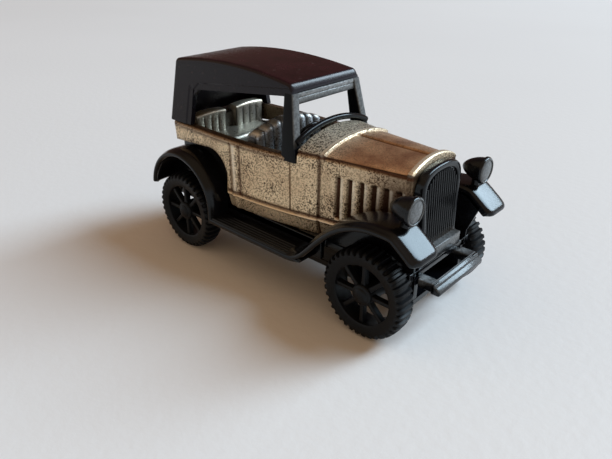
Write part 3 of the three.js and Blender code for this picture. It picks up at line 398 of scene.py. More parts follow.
apron_end, apron_foot, apron_thinning, apron_thin_from = 22.2, 9.8, 0.7, 19.8
apron_path = front_wing_path - [0, 0.5 * wing_wall]
apron_path = apron_path[(apron_path[:, 1] > deck_top) & (apron_path[:, 0] < apron_end)]
front_apron = slab(np.concatenate([
    [[apron_path[0, 0], deck_under]], apron_path, [[deck_front, apron_foot], [deck_front, deck_under]],
]), (wing_inner, wheel_house), 0.06)
apron_x, apron_y, _ = front_apron[0].T
apron_y -= apron_thinning * np.clip(apron_x - apron_thin_from, 0, 1) * (apron_y - wing_inner)

arch_front, arch_top, arch_round, arch_gap, arch_rear = -7.75, 16.6, 3.6, 0.08, -19.1
arch_corner = np.array([arch_front - arch_round, arch_top - arch_round]) - arch_gap
rear_apron = slab(np.concatenate([
    [[arch_rear, deck_under], [arch_front - arch_gap, deck_under]],
    arch_corner + arch_round * circle(np.linspace(0, math.pi / 2, 16)),
    [[arch_rear, arch_top - 0.83]],
]), (wing_inner, wheel_house), 0.1)
wall_rear, wall_low, wall_inset = -18.1, 6.4, 0.35
wall_path = rear_wing_centre + (rear_wing_path - rear_wing_centre) * (1 - wall_inset / rear_wing_radius)
wall_path = wall_path[wall_path[:, 1] > deck_top]
rear_wall = slab(np.concatenate([
    [[wall_path[0, 0], wall_low]], wall_path,
    [[wall_path[-1, 0], deck_under], [wall_rear, deck_under], [wall_rear, wall_low]],
]), (wing_inner + 0.05, wheel_house - 0.05), 0.1)

tread_inner, tread_outer, rib_count, rib_height = 7.95, wing_outer - 0.18, 5, 0.22
tread_y = np.linspace(tread_outer, tread_inner, 71)
tread_phase = (tread_y - tread_inner) / (tread_outer - tread_inner) * rib_count
tread_z = board_top - rib_height * (0.5 + 0.5 * np.cos(2 * math.pi * tread_phase)) ** 3
board_outline = np.concatenate([
    [[board_inner, board_under], [wing_outer - 0.3, board_under], [wing_outer - 0.08, board_under + 0.08],
     [wing_outer, board_under + 0.3], [wing_outer, board_top - 0.32], [wing_outer - 0.07, board_top - 0.18]],
    points(tread_y, tread_z), [[board_inner, board_top - rib_height]],
])
lift_start, lift_end, lift_height = 4.6, 7.6, 0.6
board_x = np.append(board_span[0], np.linspace(lift_start, lift_end, 12))[:, None]
board_lift = lift_height * np.clip((board_x - lift_start) / (lift_end - lift_start), 0, 1) ** 2
board_low = np.clip((board_top - 0.3 - board_outline[:, 1]) / 0.6, 0, 1)
running_board = tube_shell(points(board_x, board_outline[:, 0], board_outline[:, 1] + board_low * board_lift))
valance = slab(oblong((board_inner, deck_side), (board_under, deck_top), 0.1), board_span, 0.1, (1, 2, 0))

board_rear, board_front = board_span
deck_edge = np.array([
    (deck_rear, wheel_house), (board_rear, wheel_house), (board_rear, deck_side), (board_front, deck_side),
    (board_front, wheel_house), (deck_front, wheel_house),
])
deck_plan = np.concatenate([deck_edge * [1, -1], deck_edge[::-1]])
deck = slab(rounded(deck_plan, 0.2), (deck_under, deck_top), 0.12, (0, 1, 2))

axle_slot, rail_low, rail_span = 0.81, 5.02, (4.8, 5.6)
slot_arch = axle_slot * circle(np.linspace(math.pi, 0, 9)) + [0, axle_height]
slot_outline = np.concatenate([[[-axle_slot, rail_low]], slot_arch, [[axle_slot, rail_low]]])
rail = slab(np.concatenate([
    [[deck_rear, rail_low]], slot_outline - [axle_x, 0], slot_outline + [axle_x, 0],
    [[deck_front, rail_low], [deck_front, deck_top], [deck_rear, deck_top]],
]), rail_span, 0.06)

side_parts = [front_wing, rear_wing, front_apron, rear_apron, rear_wall, running_board, valance, rail]
add_piece("chassis_moulding", side_parts + mirrored(side_parts) + [deck], chassis_black,
          "car", "fender_unit")

# Base plate and its two screws.
# A flat black plate closes the chassis from below and keeps the axles in their slots. Two small cross-head
# steel screws pass through it into posts in the body.


def plain_steel(name):
    """Drawn steel: fine streaks along the rod, in colour and in gloss."""
    material, tree = new_material(name)
    place = add_node(tree, "TexCoord", "Object", {})
    stretched = add_node(tree, "Mapping", "Vector", {"Vector": place, "Scale": (2500.0, 120.0, 2500.0)})
    streak = noise(tree, 1.0, 3.0, place=stretched)
    tone = ramp(tree, streak, (0.3, (0.42, 0.42, 0.42)), (0.7, (0.62, 0.62, 0.61)))
    rough = ramp(tree, streak, (0.3, 0.25), (0.7, 0.42))
    return coated(material, {"Base Color": tone, "Metallic": 1.0, "Roughness": rough})


def dress(node, material):
    """Gives a CAD node, whose shape is right as it is, a material of its own."""
    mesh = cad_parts[node].data
    mesh.materials.clear()
    mesh.materials.append(material)


axle_steel = plain_steel("axle_steel")
dress("base_plate", chassis_black)
dress("base_screw_front", axle_steel)
dress("base_screw_rear", axle_steel)

# Axles and wheels.
# Two plain steel rods turn in the chassis rails. Each has a black plastic wheel pressed on both ends: a
# cleated tyre, eight spokes and a round hub in one moulding, satin from the mould.
dress("front_axle", axle_steel)
dress("rear_axle", axle_steel)
wheel_black = black_plastic("wheel_black", (0.0036, 0.0040, 0.0052), 0.46, 0.2, 0.15)

wheel_middle, spoke_count = 8.6, 8
cleat_count, cleat_depth, cleat_foot, cleat_rise = 38, 0.34, 5.05, 0.4
tyre_half = np.array([
    [4.35, -1.32], [4.75, -1.42], [5.1, -1.46], [5.28, -1.44], [5.42, -1.38], [5.54, -1.24],
    [5.63, -1.08], [5.69, -0.9], [5.72, -0.6], [5.735, -0.25], [5.74, 0.0],
])
tyre_profile = np.concatenate([tyre_half, tyre_half[-2::-1] * [1, -1], [[4.28, 0.6], [4.28, -0.6]]])
rim_profile = [(3.86, -1.2), (3.95, -1.28), (4.6, -1.33), (4.6, 1.33), (3.97, 1.28), (3.86, 1.2), (3.82, 0.95),
               (3.82, -1.1)]
hub_profile = [(0.76, -2.85), (1.25, -2.85), (1.35, -2.75), (1.35, 1.02), (1.31, 1.14), (1.2, 1.24),
               (1.05, 1.3), (0.98, 1.31), (0.9, 1.4), (0.76, 1.49), (0.55, 1.555), (0.28, 1.59), (0.02, 1.6),
               (0.02, 0.62), (0.76, 0.62)]


def tyre_shell():
    """Profile of the tyre turned about the axle. The tread's radius dips between the cleats by a smooth
    square wave of the angle, fading to nothing on the side wall."""
    radius, y = tyre_profile.T
    angle = np.linspace(0, 2 * math.pi, cleat_count * 12, endpoint=False)[:, None]
    gap = 1 - np.clip(0.5 + 1.9 * np.sin(cleat_count * angle), 0, 1)
    dip = gap * np.clip((radius - cleat_foot) / cleat_rise, 0, 1)
    radius = radius - cleat_depth * dip
    return tube_shell(points(radius * np.cos(angle), y * (1 - 0.1 * dip), radius * np.sin(angle)), True)


def turned(profile, count, closed):
    """A profile of radius and place turned about the y axis: x and z are radius times cosine and sine."""
    radius, place = np.asarray(profile, float).T[..., None]
    angle = np.linspace(0, 2 * math.pi, count, endpoint=False)
    return tube_shell(points(radius * np.cos(angle), place, radius * np.sin(angle)), closed)


def spun(shell, angle, axes):
    """A skin turned by an angle in the plane of two axes, from the first towards the second."""
    skin, quads, caps = shell
    a, b = skin[:, axes].T
    skin = skin.copy()
    skin[:, axes] = points(a * math.cos(angle) - b * math.sin(angle), a * math.sin(angle) + b * math.cos(angle))
    return skin, quads, caps


def spoke_shell():
    """A tapered bar from the hub to the rim: rounded rectangles along a radius, wider at both ends."""
    part = np.linspace(0, 1, 13)[:, None]
    width_section, depth_section = oblong((-1, 1), (-1, 1), 0.5).T
    width = 0.27 + 0.18 * (2 * part - 1) ** 4
    return tube_shell(points(0.9 + 3.3 * part, 0.52 + 0.42 * depth_section, width * width_section))


def moved(shells, offset):
    """The same skins, moved."""
    return [(skin + offset, quads, caps) for skin, quads, caps in shells]


wheel_parts = [tyre_shell(), turned(rim_profile, 96, True), turned(hub_profile, 64, True)]
wheel_parts += [spun(spoke_shell(), k * 2 * math.pi / spoke_count, (0, 2)) for k in range(spoke_count)]
for end, side in (("front", 1), ("rear", -1)):
    left_wheel = moved(wheel_parts, [side * axle_x, wheel_middle, axle_height])
    add_piece(f"{end}_left_wheel", left_wheel, wheel_black,
              f"{end}_wheels", f"wheel_{end}_left")
    add_piece(f"{end}_right_wheel", mirrored(left_wheel), wheel_black,
              f"{end}_wheels", f"wheel_{end}_right")

# Cast body.
# A hollow metal casting with a worn antique brass plating: an open tub with door seams, a beaded sill and
# arches over the rear wheels, and an arched cowl and louvred bonnet. It is screwed to the chassis deck.


def plated_metal(name, pale, dark, speckle, grime_and_shade_colour):
    """Antique brass plating. Marks on the points add dark grime and painted shade in grooves, hollows and shaded
    places, bright wear and painted highlights on edges and ridges, and copper and grey-green patches. Fine dark
    specks and sparse pits cover it, thicker in some places."""
    green_grey, speck_brown, bright = (0.68, 0.655, 0.55), (0.05, 0.032, 0.018), (0.97, 0.90, 0.74)
    material, tree = new_material(name)
    cloud, speck = noise(tree, 330.0, 4.0, 0.6), noise(tree, 4900.0, 3.0, 0.6)
    grime, wear, copper, verdigris = (mark_value(tree, m) for m in ("grime", "wear", "copper", "verdigris"))
    rust = ramp(tree, cloud, (0.36, (0.395, 0.20, 0.108)), (0.6, (0.72, 0.445, 0.25)))
    colour = blend(tree, copper, ramp(tree, cloud, (0.32, dark), (0.66, pale)), rust)
    colour = blend(tree, verdigris, colour, green_grey)
    spots = ramp(tree, speck, (0.485, 0.0), (0.555, 1.0))
    pits = ramp(tree, noise(tree, 2300.0, 1.0), (0.68, 0.0), (0.72, 1.0))
    density = ramp(tree, noise(tree, 240.0, 2.0), (0.38, 0.45 * speckle), (0.58, speckle))
    density = reckon(tree, "ADD", density, reckon(tree, "MULTIPLY", verdigris, 0.3))
    cover = reckon(tree, "MAXIMUM", reckon(tree, "MULTIPLY", spots, density), pits)
    smooth_copper = reckon(tree, "SUBTRACT", 1.0, reckon(tree, "MULTIPLY", copper, 0.62))
    cover = reckon(tree, "MULTIPLY", cover, smooth_copper)
    cover = reckon(tree, "MULTIPLY", cover, reckon(tree, "SUBTRACT", 1.0, wear))
    for factor, layer in ((cover, speck_brown), (grime, grime_and_shade_colour), (wear, bright)):
        colour = blend(tree, factor, colour, layer)
    return coated(material, {
        "Base Color": colour,
        "Metallic": 0.8,
        "Roughness": ramp(tree, speck, (0.35, 0.32), (0.7, 0.5)),
        "Normal": bump(tree, reckon(tree, "SUBTRACT", 1.0, cover), 0.35, 0.00006),
    })


body_metal = plated_metal("body_metal", (0.855, 0.705, 0.475), (0.70, 0.54, 0.35), 0.95, (0.06, 0.021, 0.009))

body_bottom, belt_height, sill_height = 8.98, 18.6, 11.0
body_half, cowl_half, nose_half, rear_taper = 8.4, 6.6, 4.65, 0.45
body_rear, rear_corner, widest = -20.3, 1.5, -7.0
cowl_back, hood_back, hood_front = 4.0, 6.9, 18.7
shoulder_height, cowl_climb = 19.3, 0.5
crown_base, crown_rise, crown_drop, crown_fullness = 0.25, 1.3, 0.05, 1.75
sill_tuck, body_wall, belt_round = 0.45, 0.9, 0.45
door_seams, seam_widths = np.array([2.95, -5.45, -7.2]), np.array([0.08, 0.24, 0.14])
pillar_middle, rear_gap = -6.35, 5.73
louvre_places, louvre_length = hood_back + 2.9 + 1.55 * np.arange(6), 0.82


def body_side(x):
    """Half width of the body: a parabola from the widest place to the cowl, straight on to the nose, and a
    slight parabola to the rear."""
    ahead = body_half + (cowl_half - body_half) * np.clip((x - widest) / (hood_back - widest), 0, 1) ** 2
    nose = cowl_half + (nose_half - cowl_half) * (x - hood_back) / (hood_front - hood_back)
    behind = body_half - rear_taper * np.clip((x - widest) / (body_rear - widest), 0, 1) ** 2
    return np.where(x > hood_back, nose, np.where(x > widest, ahead, behind))


def bell(distance, width):
    """A smooth bump of height 1 that falls off on both sides of distance 0."""
    return np.exp(-(distance / width) ** 2)


def step_up(value, start, end):
    """A smooth step from 0 at start to 1 at end, which may be the lower one."""
    t = np.clip((value - start) / (end - start), 0, 1)
    return t * t * (3 - 2 * t)


def beside(*tables):
    """Tables of values side by side; a single row is repeated down its table."""
    tables = [np.atleast_2d(table) for table in tables]
    count = max(len(table) for table in tables)
    return np.concatenate([np.broadcast_to(table, (count, table.shape[1])) for table in tables], 1)


def arch_edge(x):
    """Lower edge of the body side: the sill, or the wheel arch with its round front corner."""
    corner = arch_front - arch_round
    fall = np.sqrt(np.clip(arch_round ** 2 - np.clip(x - corner, 0, None) ** 2, 0, None))
    level = arch_top - 0.75 * np.clip((corner - x) / (corner - body_rear), 0, 1)
    return np.where(x > corner, arch_top - arch_round + fall, level)


def sill_form(z):
    """How far the side stands out: drawn in below the sill, a round bead along it and a hollow above that."""
    tuck = sill_tuck * np.clip((sill_height - z) / (sill_height - body_bottom), 0, 1)
    return 0.16 * bell(z - sill_height, 0.13) - 0.14 * bell(z - sill_height - 0.36, 0.18) - tuck


def sill_marks(z):
    """Darker in the hollow above the sill's bead, and a bright line along the bead: a painted highlight on its
    worn plating.
    """
    return 0.95 * bell(z - sill_height - 0.4, 0.26), bell(z - sill_height - 0.02, 0.09)


def tub_shell():
    """The wall's section carried round the plan of the tub: forward edge, side, rear corner, rear, and back
    along the other side. Outside it has a beaded sill, seams and a pillar, on top a half round, and inside a
    plain wall. Its lower edge follows the arches."""
    side_x = np.concatenate([
        np.arange(cowl_back, body_rear + rear_corner, -0.3),
        *[seam + np.linspace(-0.4, 0.4, 17) for seam in door_seams],
        pillar_middle + np.array([-0.3, 0.0, 0.3]), arch_front + np.array([0.01, -0.01]),
        arch_front - arch_round * (1 - np.cos(np.linspace(0, math.pi / 2, 12))),
    ])
    side_x = np.unique(side_x.round(4))[::-1]
    turn = np.linspace(0, math.pi / 2, 10)[1:]
    corner_x = body_rear + rear_corner * (1 - np.sin(turn))
    corner_y = body_side(body_rear + rear_corner) - rear_corner * (1 - np.cos(turn))
    panel_y = np.concatenate([
        np.linspace(corner_y[-1], rear_gap + 0.02, 5)[1:], [rear_gap - 0.02], np.linspace(5.4, 0, 12),
    ])
    half = np.concatenate([
        points(side_x, body_side(side_x)), points(corner_x, corner_y), points(body_rear, panel_y),
    ])
    plan = np.concatenate([half, half[-2::-1] * [1, -1]])
    along = unit(np.gradient(plan, axis=0))
    outward = points(along[:, 1], -along[:, 0])
    outward = outward * np.sign(np.sum(outward * (plan - [-8, 0]), 1, keepdims=True))
    x, y = plan[:, :1], plan[:, 1:]
    on_rear = step_up(outward[:, :1], -0.2, -1.0)
    on_side = 1 - on_rear
    below_panel = (np.abs(y) < rear_gap) & (x < body_rear + 0.01)
    low = np.where((x > arch_front) | below_panel, body_bottom, arch_edge(x))
    top = belt_height - belt_round
    z = low + (top - low) * np.linspace(0, 1, 92)
    seam = bell(x[..., None] - door_seams, seam_widths).sum(-1) * step_up(z, sill_height + 0.1, sill_height + 0.5)
    pillar = step_up(np.abs(x - pillar_middle), 0.7, 0.1)
    lean = 1.2 * step_up(z, top, belt_height - 2.9) * on_rear
    offset = (sill_form(z) - 0.18 * seam + 0.16 * pillar) * on_side - lean
    sill_hollow_dark, sill_bead_highlight = sill_marks(z)
    # Darker in the seams, in the hollow above the sill's bead, along the lower edge and along the belt.
    grime = on_side * (sill_hollow_dark + 0.75 * seam) + 0.6 * bell(z - low, 0.2) + 0.75 * bell(z - top, 0.3)
    # Painted highlight: a bright band down the rounded door pillar; the sill bead gets its painted highlight too.
    wear = on_side * sill_bead_highlight + 0.6 * bell(x - pillar_middle, 0.3) * step_up(z, 11.2, 12.0)
    over = np.linspace(0, math.pi / 2, 9)[1:]
    inner_z = beside(np.array([0.0, 0.12, 0.25, 0.5]) * (low - belt_height) + belt_height, low)
    inner_offset = np.full(inner_z.shape, -(sill_tuck + body_wall)) - lean[:, :1]
    inner_offset[:, 0] += 0.12
    z_all = beside(z, top + belt_round * np.sin(over), inner_z)
    offset_all = beside(offset, -belt_round * (1 - np.cos(over)), inner_offset)
    place = plan[:, None, :] + outward[:, None, :] * offset_all[..., None]
    inside = np.ones(inner_z.shape[1])
    # The rounded top of the wall and its inside are darker.
    marks = {
        "grime": beside(grime.clip(0, 0.95), np.linspace(0.5, 0.9, len(over)), 0.7 * inside),
        "wear": beside(wear.clip(0, 1), np.zeros(len(over)), 0 * inside),
    }
    return tube_shell(np.concatenate([place, z_all[..., None]], 2)), marks


def nose_shell():
    """The cowl and bonnet: a side that rises to a grooved shoulder and a full arch over the top, carried
    from the cowl's rear edge to the radiator. Rims stand proud, seams and louvres are pressed in."""
    x = np.concatenate([
        np.arange(cowl_back, hood_front, 0.3), hood_back + np.linspace(-0.5, 1.2, 35),
        hood_front - np.linspace(0, 1.2, 22), *[place + np.linspace(-1.0, 0.2, 15) for place in louvre_places],
        [hood_front],
    ])
    x = np.unique(x.round(4))[:, None]
    along = np.clip((x - hood_back) / (hood_front - hood_back), 0, 1)
    rims = step_up(x, hood_back, hood_back + 0.14) * step_up(x, hood_back + 0.86, hood_back + 0.68)
    front_rim = step_up(x, hood_front - 0.84, hood_front - 0.68)
    bonnet = step_up(x, hood_back, hood_back + 0.2)
    panel = bonnet * (1 - front_rim)
    soft_end = 0.14 * bell(x - hood_front, 0.14)
    lift = 0.16 * (rims + front_rim) - 0.1 * panel * (1 - rims) - soft_end
    side_lift = -0.2 * bell(x - hood_back, 0.15) - 0.1 * panel - soft_end
    side = body_side(x)
    side_z = np.linspace(body_bottom, shoulder_height, 84)[None]
    groove = bell(side_z - shoulder_height, 0.24)
    slot_up = step_up(side_z, 11.75, 12.1) * step_up(side_z, 17.45, 17.1)
    behind = louvre_places[:, None, None] - x
    sloped = np.where((behind > 0) & (behind < louvre_length), 1 - behind / louvre_length, 0).max(0)
    louvre = sloped * slot_up
    near_top = step_up(side_z, shoulder_height - 0.7, shoulder_height - 0.1)
    out = side + side_lift + (lift - side_lift) * near_top + sill_form(side_z) - 0.25 * groove - 0.55 * louvre
    sill_hollow_dark, sill_bead_highlight = sill_marks(side_z)
    # Darker in the hollow above the bead, in the shoulder groove and in the louvre slots: antique black in the
    # recesses, with painted shade.
    side_grime_and_shade = sill_hollow_dark + 0.95 * groove + 0.97 * step_up(louvre, 0.08, 0.5)
    side_grime_and_shade = side_grime_and_shade + 0.8 * bell(x - hood_back, 0.2) + 0.14 * step_up(x, 6.0, 8.0)
    # Darker towards the front of the bonnet and lower down on its side.
    side_grime_and_shade = side_grime_and_shade + 0.85 * step_up(x, 11.5, 17.0) * (0.6 + 0.4 * step_up(side_z, 18.8, 15.5))
    from_slot = np.abs(x - louvre_places - 0.22).min(1, keepdims=True)
    # Painted highlight: a bright strip along the rib beside each louvre slot, on the side that catches the light.
    side_wear_and_highlight = sill_bead_highlight + 0.5 * step_up(louvre, 0.02, 0) * slot_up * bell(from_slot, 0.16)
    angle = np.linspace(0, math.pi, 122)[None]
    behind_bonnet = np.clip((hood_back - x) / (hood_back - cowl_back), 0, 1)
    rise = crown_rise - crown_drop * along + cowl_climb * behind_bonnet
    arch_y = (side + lift - 0.12) * np.cos(angle)
    hinge = step_up(np.abs(arch_y), 0.42, 0.2) * step_up(x, hood_back + 0.75, hood_back + 0.95)
    hinge = hinge * step_up(x, hood_front - 0.75, hood_front - 1.0)
    arch_z = shoulder_height + crown_base + lift + rise * np.sin(angle) ** crown_fullness - 0.34 * hinge
    # Darker along the hinge groove and at the shoulders of the arch.
    top_grime_and_shade = hinge + 0.85 * bell(np.minimum(angle, math.pi - angle), 0.16)
    rim_wear = step_up(rims, 0.5, 1) * bell(x - hood_back - 0.3, 0.22)
    rim_wear = rim_wear + 0.7 * front_rim * bell(x - hood_front + 0.4, 0.3)
    top_wear = rim_wear * (0.4 + 0.6 * np.sin(angle))
    forward, across = step_up(along, 0.0, 0.35), np.ones(angle.shape)
    copper = panel * (1 - rims) * (0.55 + 0.4 * forward) * across
    cowl_green = 0.8 * np.maximum(1 - bonnet, 0.4 * (1 - forward)) * across
    left = points(x, out, side_z)
    rings = np.concatenate([left, points(x, arch_y, arch_z), left[:, ::-1] * [1, -1, 1]], 1)
    blank = np.zeros(side_z.shape)
    marks = {
        "grime": beside(side_grime_and_shade, top_grime_and_shade, side_grime_and_shade[:, ::-1]).clip(0, 0.97),
        "wear": beside(side_wear_and_highlight, top_wear, side_wear_and_highlight[:, ::-1]).clip(0, 1),
        "copper": beside(blank, copper, blank),
        "verdigris": beside(blank, cowl_green, blank),
    }
    return tube_shell(rings), marks


def gathered(parts):
    """The marks of several skins in a row, one value for each point: 0 where a skin hasn't the mark."""
    names = dict.fromkeys(name for _, marks in parts for name in marks)
    return {
        name: np.concatenate([np.broadcast_to(np.ravel(marks.get(name, 0.0)), len(shell[0]))
                              for shell, marks in parts])
        for name in names
    }


dash = slab(oblong((-6.9, 6.9), (body_bottom, 18.5), 0.2), (3.2, 4.02), 0.1, (1, 2, 0))
# The dash is darkened with painted shade inside the tub, and tinted grey-green.
body_parts = [tub_shell(), nose_shell(), (dash, {"grime": 0.6, "verdigris": 0.5})]
add_piece("cast_body", [shell for shell, _ in body_parts], body_metal, "car", "body_shell",
          gathered(body_parts), 50)

# Seats.
# Two bench seats of plated metal, the front one darkened and the rear one pale: upright channels over the
# back and the cushion, bright along their tops with worn plating and a painted highlight, and darker in the
# valleys between them. The rear back has two humps, above the wheel arches.
front_seat_metal = plated_metal(
    "front_seat_metal", (0.62, 0.705, 0.79), (0.32, 0.365, 0.42), 0.9, (0.015, 0.015, 0.016))
rear_seat_metal = plated_metal(
    "rear_seat_metal", (0.56, 0.55, 0.49), (0.38, 0.37, 0.33), 0.4, (0.04, 0.037, 0.03))
channel_depth, channel_fullness, arch_foot = 0.42, 0.6, 17.0


def dense(outline, spacing):
    """The outline with more points, evenly along each of its sides, about one spacing apart."""
    return np.concatenate([
        np.linspace(start, end, max(1, int(np.linalg.norm(end - start) / spacing)), endpoint=False)
        for start, end in zip(outline, np.roll(outline, -1, 0))
    ])


def bench_shell(section, side, channels, weight, lit, arch):
    """A side outline carried across the car. Channels, each a half sine across, swell it along the outline's
    normals by the weight of each outline point. The back's top falls by a parabola to both ends, by the arch.
    Lit marks the outline points that get a painted highlight on worn plating along the channel tops; the
    channels' valleys are darker."""
    across = np.linspace(*side, channels * 10 + 1)[:, None]
    part = (across - side[0]) / (side[1] - side[0])
    swell = np.abs(np.sin(math.pi * part * channels)) ** channel_fullness
    along = unit(np.roll(section, -1, 0) - np.roll(section, 1, 0))
    shift = channel_depth * (swell - 1) * weight
    x, z = section.T
    tall = np.clip((z - arch_foot) / (z.max() - arch_foot), 0, 1)
    rings = points(x + along[:, 1] * shift, across,
                   z - along[:, 0] * shift - arch * tall * (2 * part - 1) ** 2)
    marks = {
        "grime": np.clip(0.95 * (1 - swell) ** 2 * (weight > 0.1), 0, 1),
        "wear": lit * step_up(swell, 0.55, 0.95),
        "verdigris": np.full(rings.shape[:2], 0.12),
    }
    return tube_shell(rings), marks


seat_back, seat_front, back_thick, cushion_top, back_top = -5.7, -0.3, 1.9, 14.6, 20.68
back_face = seat_back + back_thick
seat_outline = dense(rounded(
    [(seat_back, body_bottom), (seat_front, body_bottom), (seat_front, cushion_top),
     (back_face + 0.4, cushion_top), (back_face, back_top), (seat_back, back_top)],
    [0.1, 0.2, 0.9, 0.5, 0.85, 0.7], 8), 0.45)
seat_x, seat_z = seat_outline.T
on_back = (seat_x < back_face + 0.7) & (seat_z > cushion_top - 0.3) & (seat_x > seat_back + 0.25)
on_cushion = (seat_z > cushion_top - 1.2) & (seat_x > back_face)
seat_weight = np.where(on_back, 1.0, np.where(on_cushion, 0.6, 0.0))
seat_lit = 0.6 * bell(seat_z - back_top, 0.35) * (seat_x > seat_back + 0.3)
front_bench, front_bench_marks = bench_shell(seat_outline, (-6.38, 6.38), 8, seat_weight, seat_lit, 1.3)
add_piece("front_bench", [front_bench], front_seat_metal, "car", "front_seat", front_bench_marks, 50)

rear_back, rear_floor, rear_span = -17.95, 12.2, (-5.45, 5.45)
hump_outline = dense(oblong((rear_back, -16.05), (15.6, 19.7), [0.05, 0.05, 0.45, 0.45], 8), 0.4)
hump_x, hump_z = hump_outline.T
hump_weight = 0.4 * (hump_x > -17.0) * (hump_z < 19.25)
# Painted highlight: the top strip of each rear hump is made bright, as if lit through the windows.
hump_lit = step_up(hump_z, 19.3, 19.5) * (hump_x > -17.6)
hump, hump_marks = bench_shell(hump_outline, (1.05, 6.4), 4, hump_weight, hump_lit, 0.2)
hump_marks["wear"] = np.broadcast_to(hump_lit, hump_marks["wear"].shape)
rear_cushion = slab(oblong((rear_back, -12.35), (rear_floor, 16.4), [0.1, 0.2, 0.9, 0.1], 6), rear_span, 0.3)
rear_core = slab(oblong((rear_back, -17.0), (rear_floor, 18.58), 0.2), rear_span, 0.1)
rear_base = slab(oblong((-16.5, -12.5), (body_bottom, 12.6), 0.2), rear_span, 0.15)
# Painted shade: the core between the two humps and the base under the cushion are darkened.
rear_parts = [
    (hump, hump_marks), (*mirrored([hump]), hump_marks), (rear_cushion, {"verdigris": 0.5}),
    (rear_core, {"grime": 0.8}), (rear_base, {"grime": 0.5}),
]
add_piece("rear_bench", [shell for shell, _ in rear_parts], rear_seat_metal, "car", "rear_seat",
          gathered(rear_parts), 50)

# Steering wheel.
# A small black ring on crossed spokes, moulded with its column, which plugs into the dash on the right.
wheel_centre, column_tilt = np.array([1.6, -2.6, 20.5]), math.radians(42)
ring_radius, ring_thick, column_radius, cap_radius = 1.5, 0.22, 0.3, 0.5
ring_angle = np.linspace(0, 2 * math.pi, 60, endpoint=False)[:, None]
tube_angle = np.linspace(0, 2 * math.pi, 14, endpoint=False)
ring_reach = ring_radius + ring_thick * np.cos(tube_angle)
steering_ring = tube_shell(points(
    ring_thick * np.sin(tube_angle), ring_reach * np.cos(ring_angle), ring_reach * np.sin(ring_angle),
), True)
column = slab(column_radius * circle(tube_angle), (0.0, 2.65), 0.05, (1, 2, 0))
horn_cap = slab(cap_radius * circle(tube_angle), (-0.2, 0.15), 0.12, (1, 2, 0))
cross_bar = slab(oblong((-0.13, 0.13), (-0.16, 0.16), 0.08), (-ring_radius, ring_radius), 0.02, (0, 1, 2))
cross_bars = [spun(cross_bar, angle, (1, 2)) for angle in (math.pi / 4, -math.pi / 4)]
steering_parts = [spun(part, -column_tilt, (0, 2)) for part in (steering_ring, column, horn_cap, *cross_bars)]
add_piece("steering_ring", moved(steering_parts, wheel_centre), chassis_black,
          "car", "steering_wheel")

# Windscreen frame.
# A glossy black frame with no glass: two flat posts let into the body's sides, a header under the roof and a
# round bar that follows the arch of the cowl.
windscreen_top, post_foot = 25.87, 18.0
roof_foot_half, roof_top_half, roof_height = 8.05, 6.25, 26.95
header_back, header_front, header_low, bar_radius = 1.15, 2.45, 24.47, 0.42


def roof_side(z):
    """Half width of the roof: it leans in from the belt to the top."""
    return roof_foot_half - (roof_foot_half - roof_top_half) * (z - belt_height) / (roof_height - belt_height)


def post_shell():
    """Rounded rectangles from the post's foot to its head, narrowing upwards and leaning in and back."""
    part = np.linspace(0, 1, 16)[:, None]
    foot_side, head_side = body_side(2.4) + 0.06, roof_side(windscreen_top) - 0.06
    section_x, section_y = oblong((0, 1), (-1.2, 0), [0.12, 0.16, 0.16, 0.12]).T
    x = 1.55 - 0.45 * part + (2.4 - part) * section_x
    y = foot_side + (head_side - foot_side) * part + section_y
    return tube_shell(points(x, y, post_foot + (windscreen_top - post_foot) * part))


def bar_shell():
    """A round bar carried along the full arch of the cowl's rear edge, across the car."""
    y = np.linspace(-6.9, 6.9, 60)
    arch = np.clip(1 - (y / body_side(cowl_back)) ** 2, 0, 1) ** (crown_fullness / 2)
    path = points(3.55, y, shoulder_height + crown_base + (crown_rise + cowl_climb) * arch + 0.52)
    forward = np.array([1.0, 0.0, 0.0])
    over = np.cross(unit(np.gradient(path, axis=0)), forward)
    ring = circle(np.linspace(0, 2 * math.pi, 18, endpoint=False))
    return tube_shell(path[:, None, :] + bar_radius * (ring[:, :1] * forward + ring[:, 1:] * over[:, None, :]))


header_half = roof_side(windscreen_top) - 0.66
header = slab(rounded(
    [(header_back, header_low), (header_front, header_low), (header_front, 25.2), (2.34, 25.3),
     (header_front, 25.4), (header_front, windscreen_top), (header_back, windscreen_top)],
    [0.1, 0.2, 0.05, 0.06, 0.05, 0.2, 0.1]), (-header_half, header_half), 0.02)
post, bar = post_shell(), bar_shell()
post_x, _, post_z = post[0].T
# Painted reflection: the front faces of the posts and of the header get a grey sheen, for the pale table seen in
# their gloss.
post_front = 3.95 - 1.45 * (post_z - post_foot) / (windscreen_top - post_foot)
post_sheen = 0.6 * step_up(post_x - post_front, -0.2, -0.04) * step_up(post_z, 19.6, 21.0)
header_x, _, header_z = header[0].T
header_sheen = step_up(header_x, 2.2, 2.4) * (0.35 + 0.6 * step_up(header_z, 24.9, 25.1))
frame_sheen = np.concatenate([post_sheen, post_sheen, np.zeros(len(bar[0])), header_sheen])
frame_black = black_plastic("frame_black", (0.0024, 0.0026, 0.0036), 0.13, 0.16, 0.1)
add_piece("windscreen", [post, *mirrored([post]), bar, header], frame_black,
          "car", "windscreen_frame", {"painted_sheen": frame_sheen})

# Roof.
# One black moulding: a lightly arched top with rounded edges, side rails that drop to
# the windscreen, and closed rear quarters and back that stand on the belt. A narrow rebate edges the windows.
# A deep maroon on the faces that look up is a painted reflection of warm light.
roof_nose, roof_arch, roof_wall, roof_round, roof_foot = 2.3, 0.95, 0.85, 0.6, 18.68
pillar_edge, window_rear, window_front, window_corner = -15.7, 23.6, 25.75, 1.0
rear_soft, nose_bevel, rebate_depth, far_off = 0.55, 0.65, 0.13, 9.0


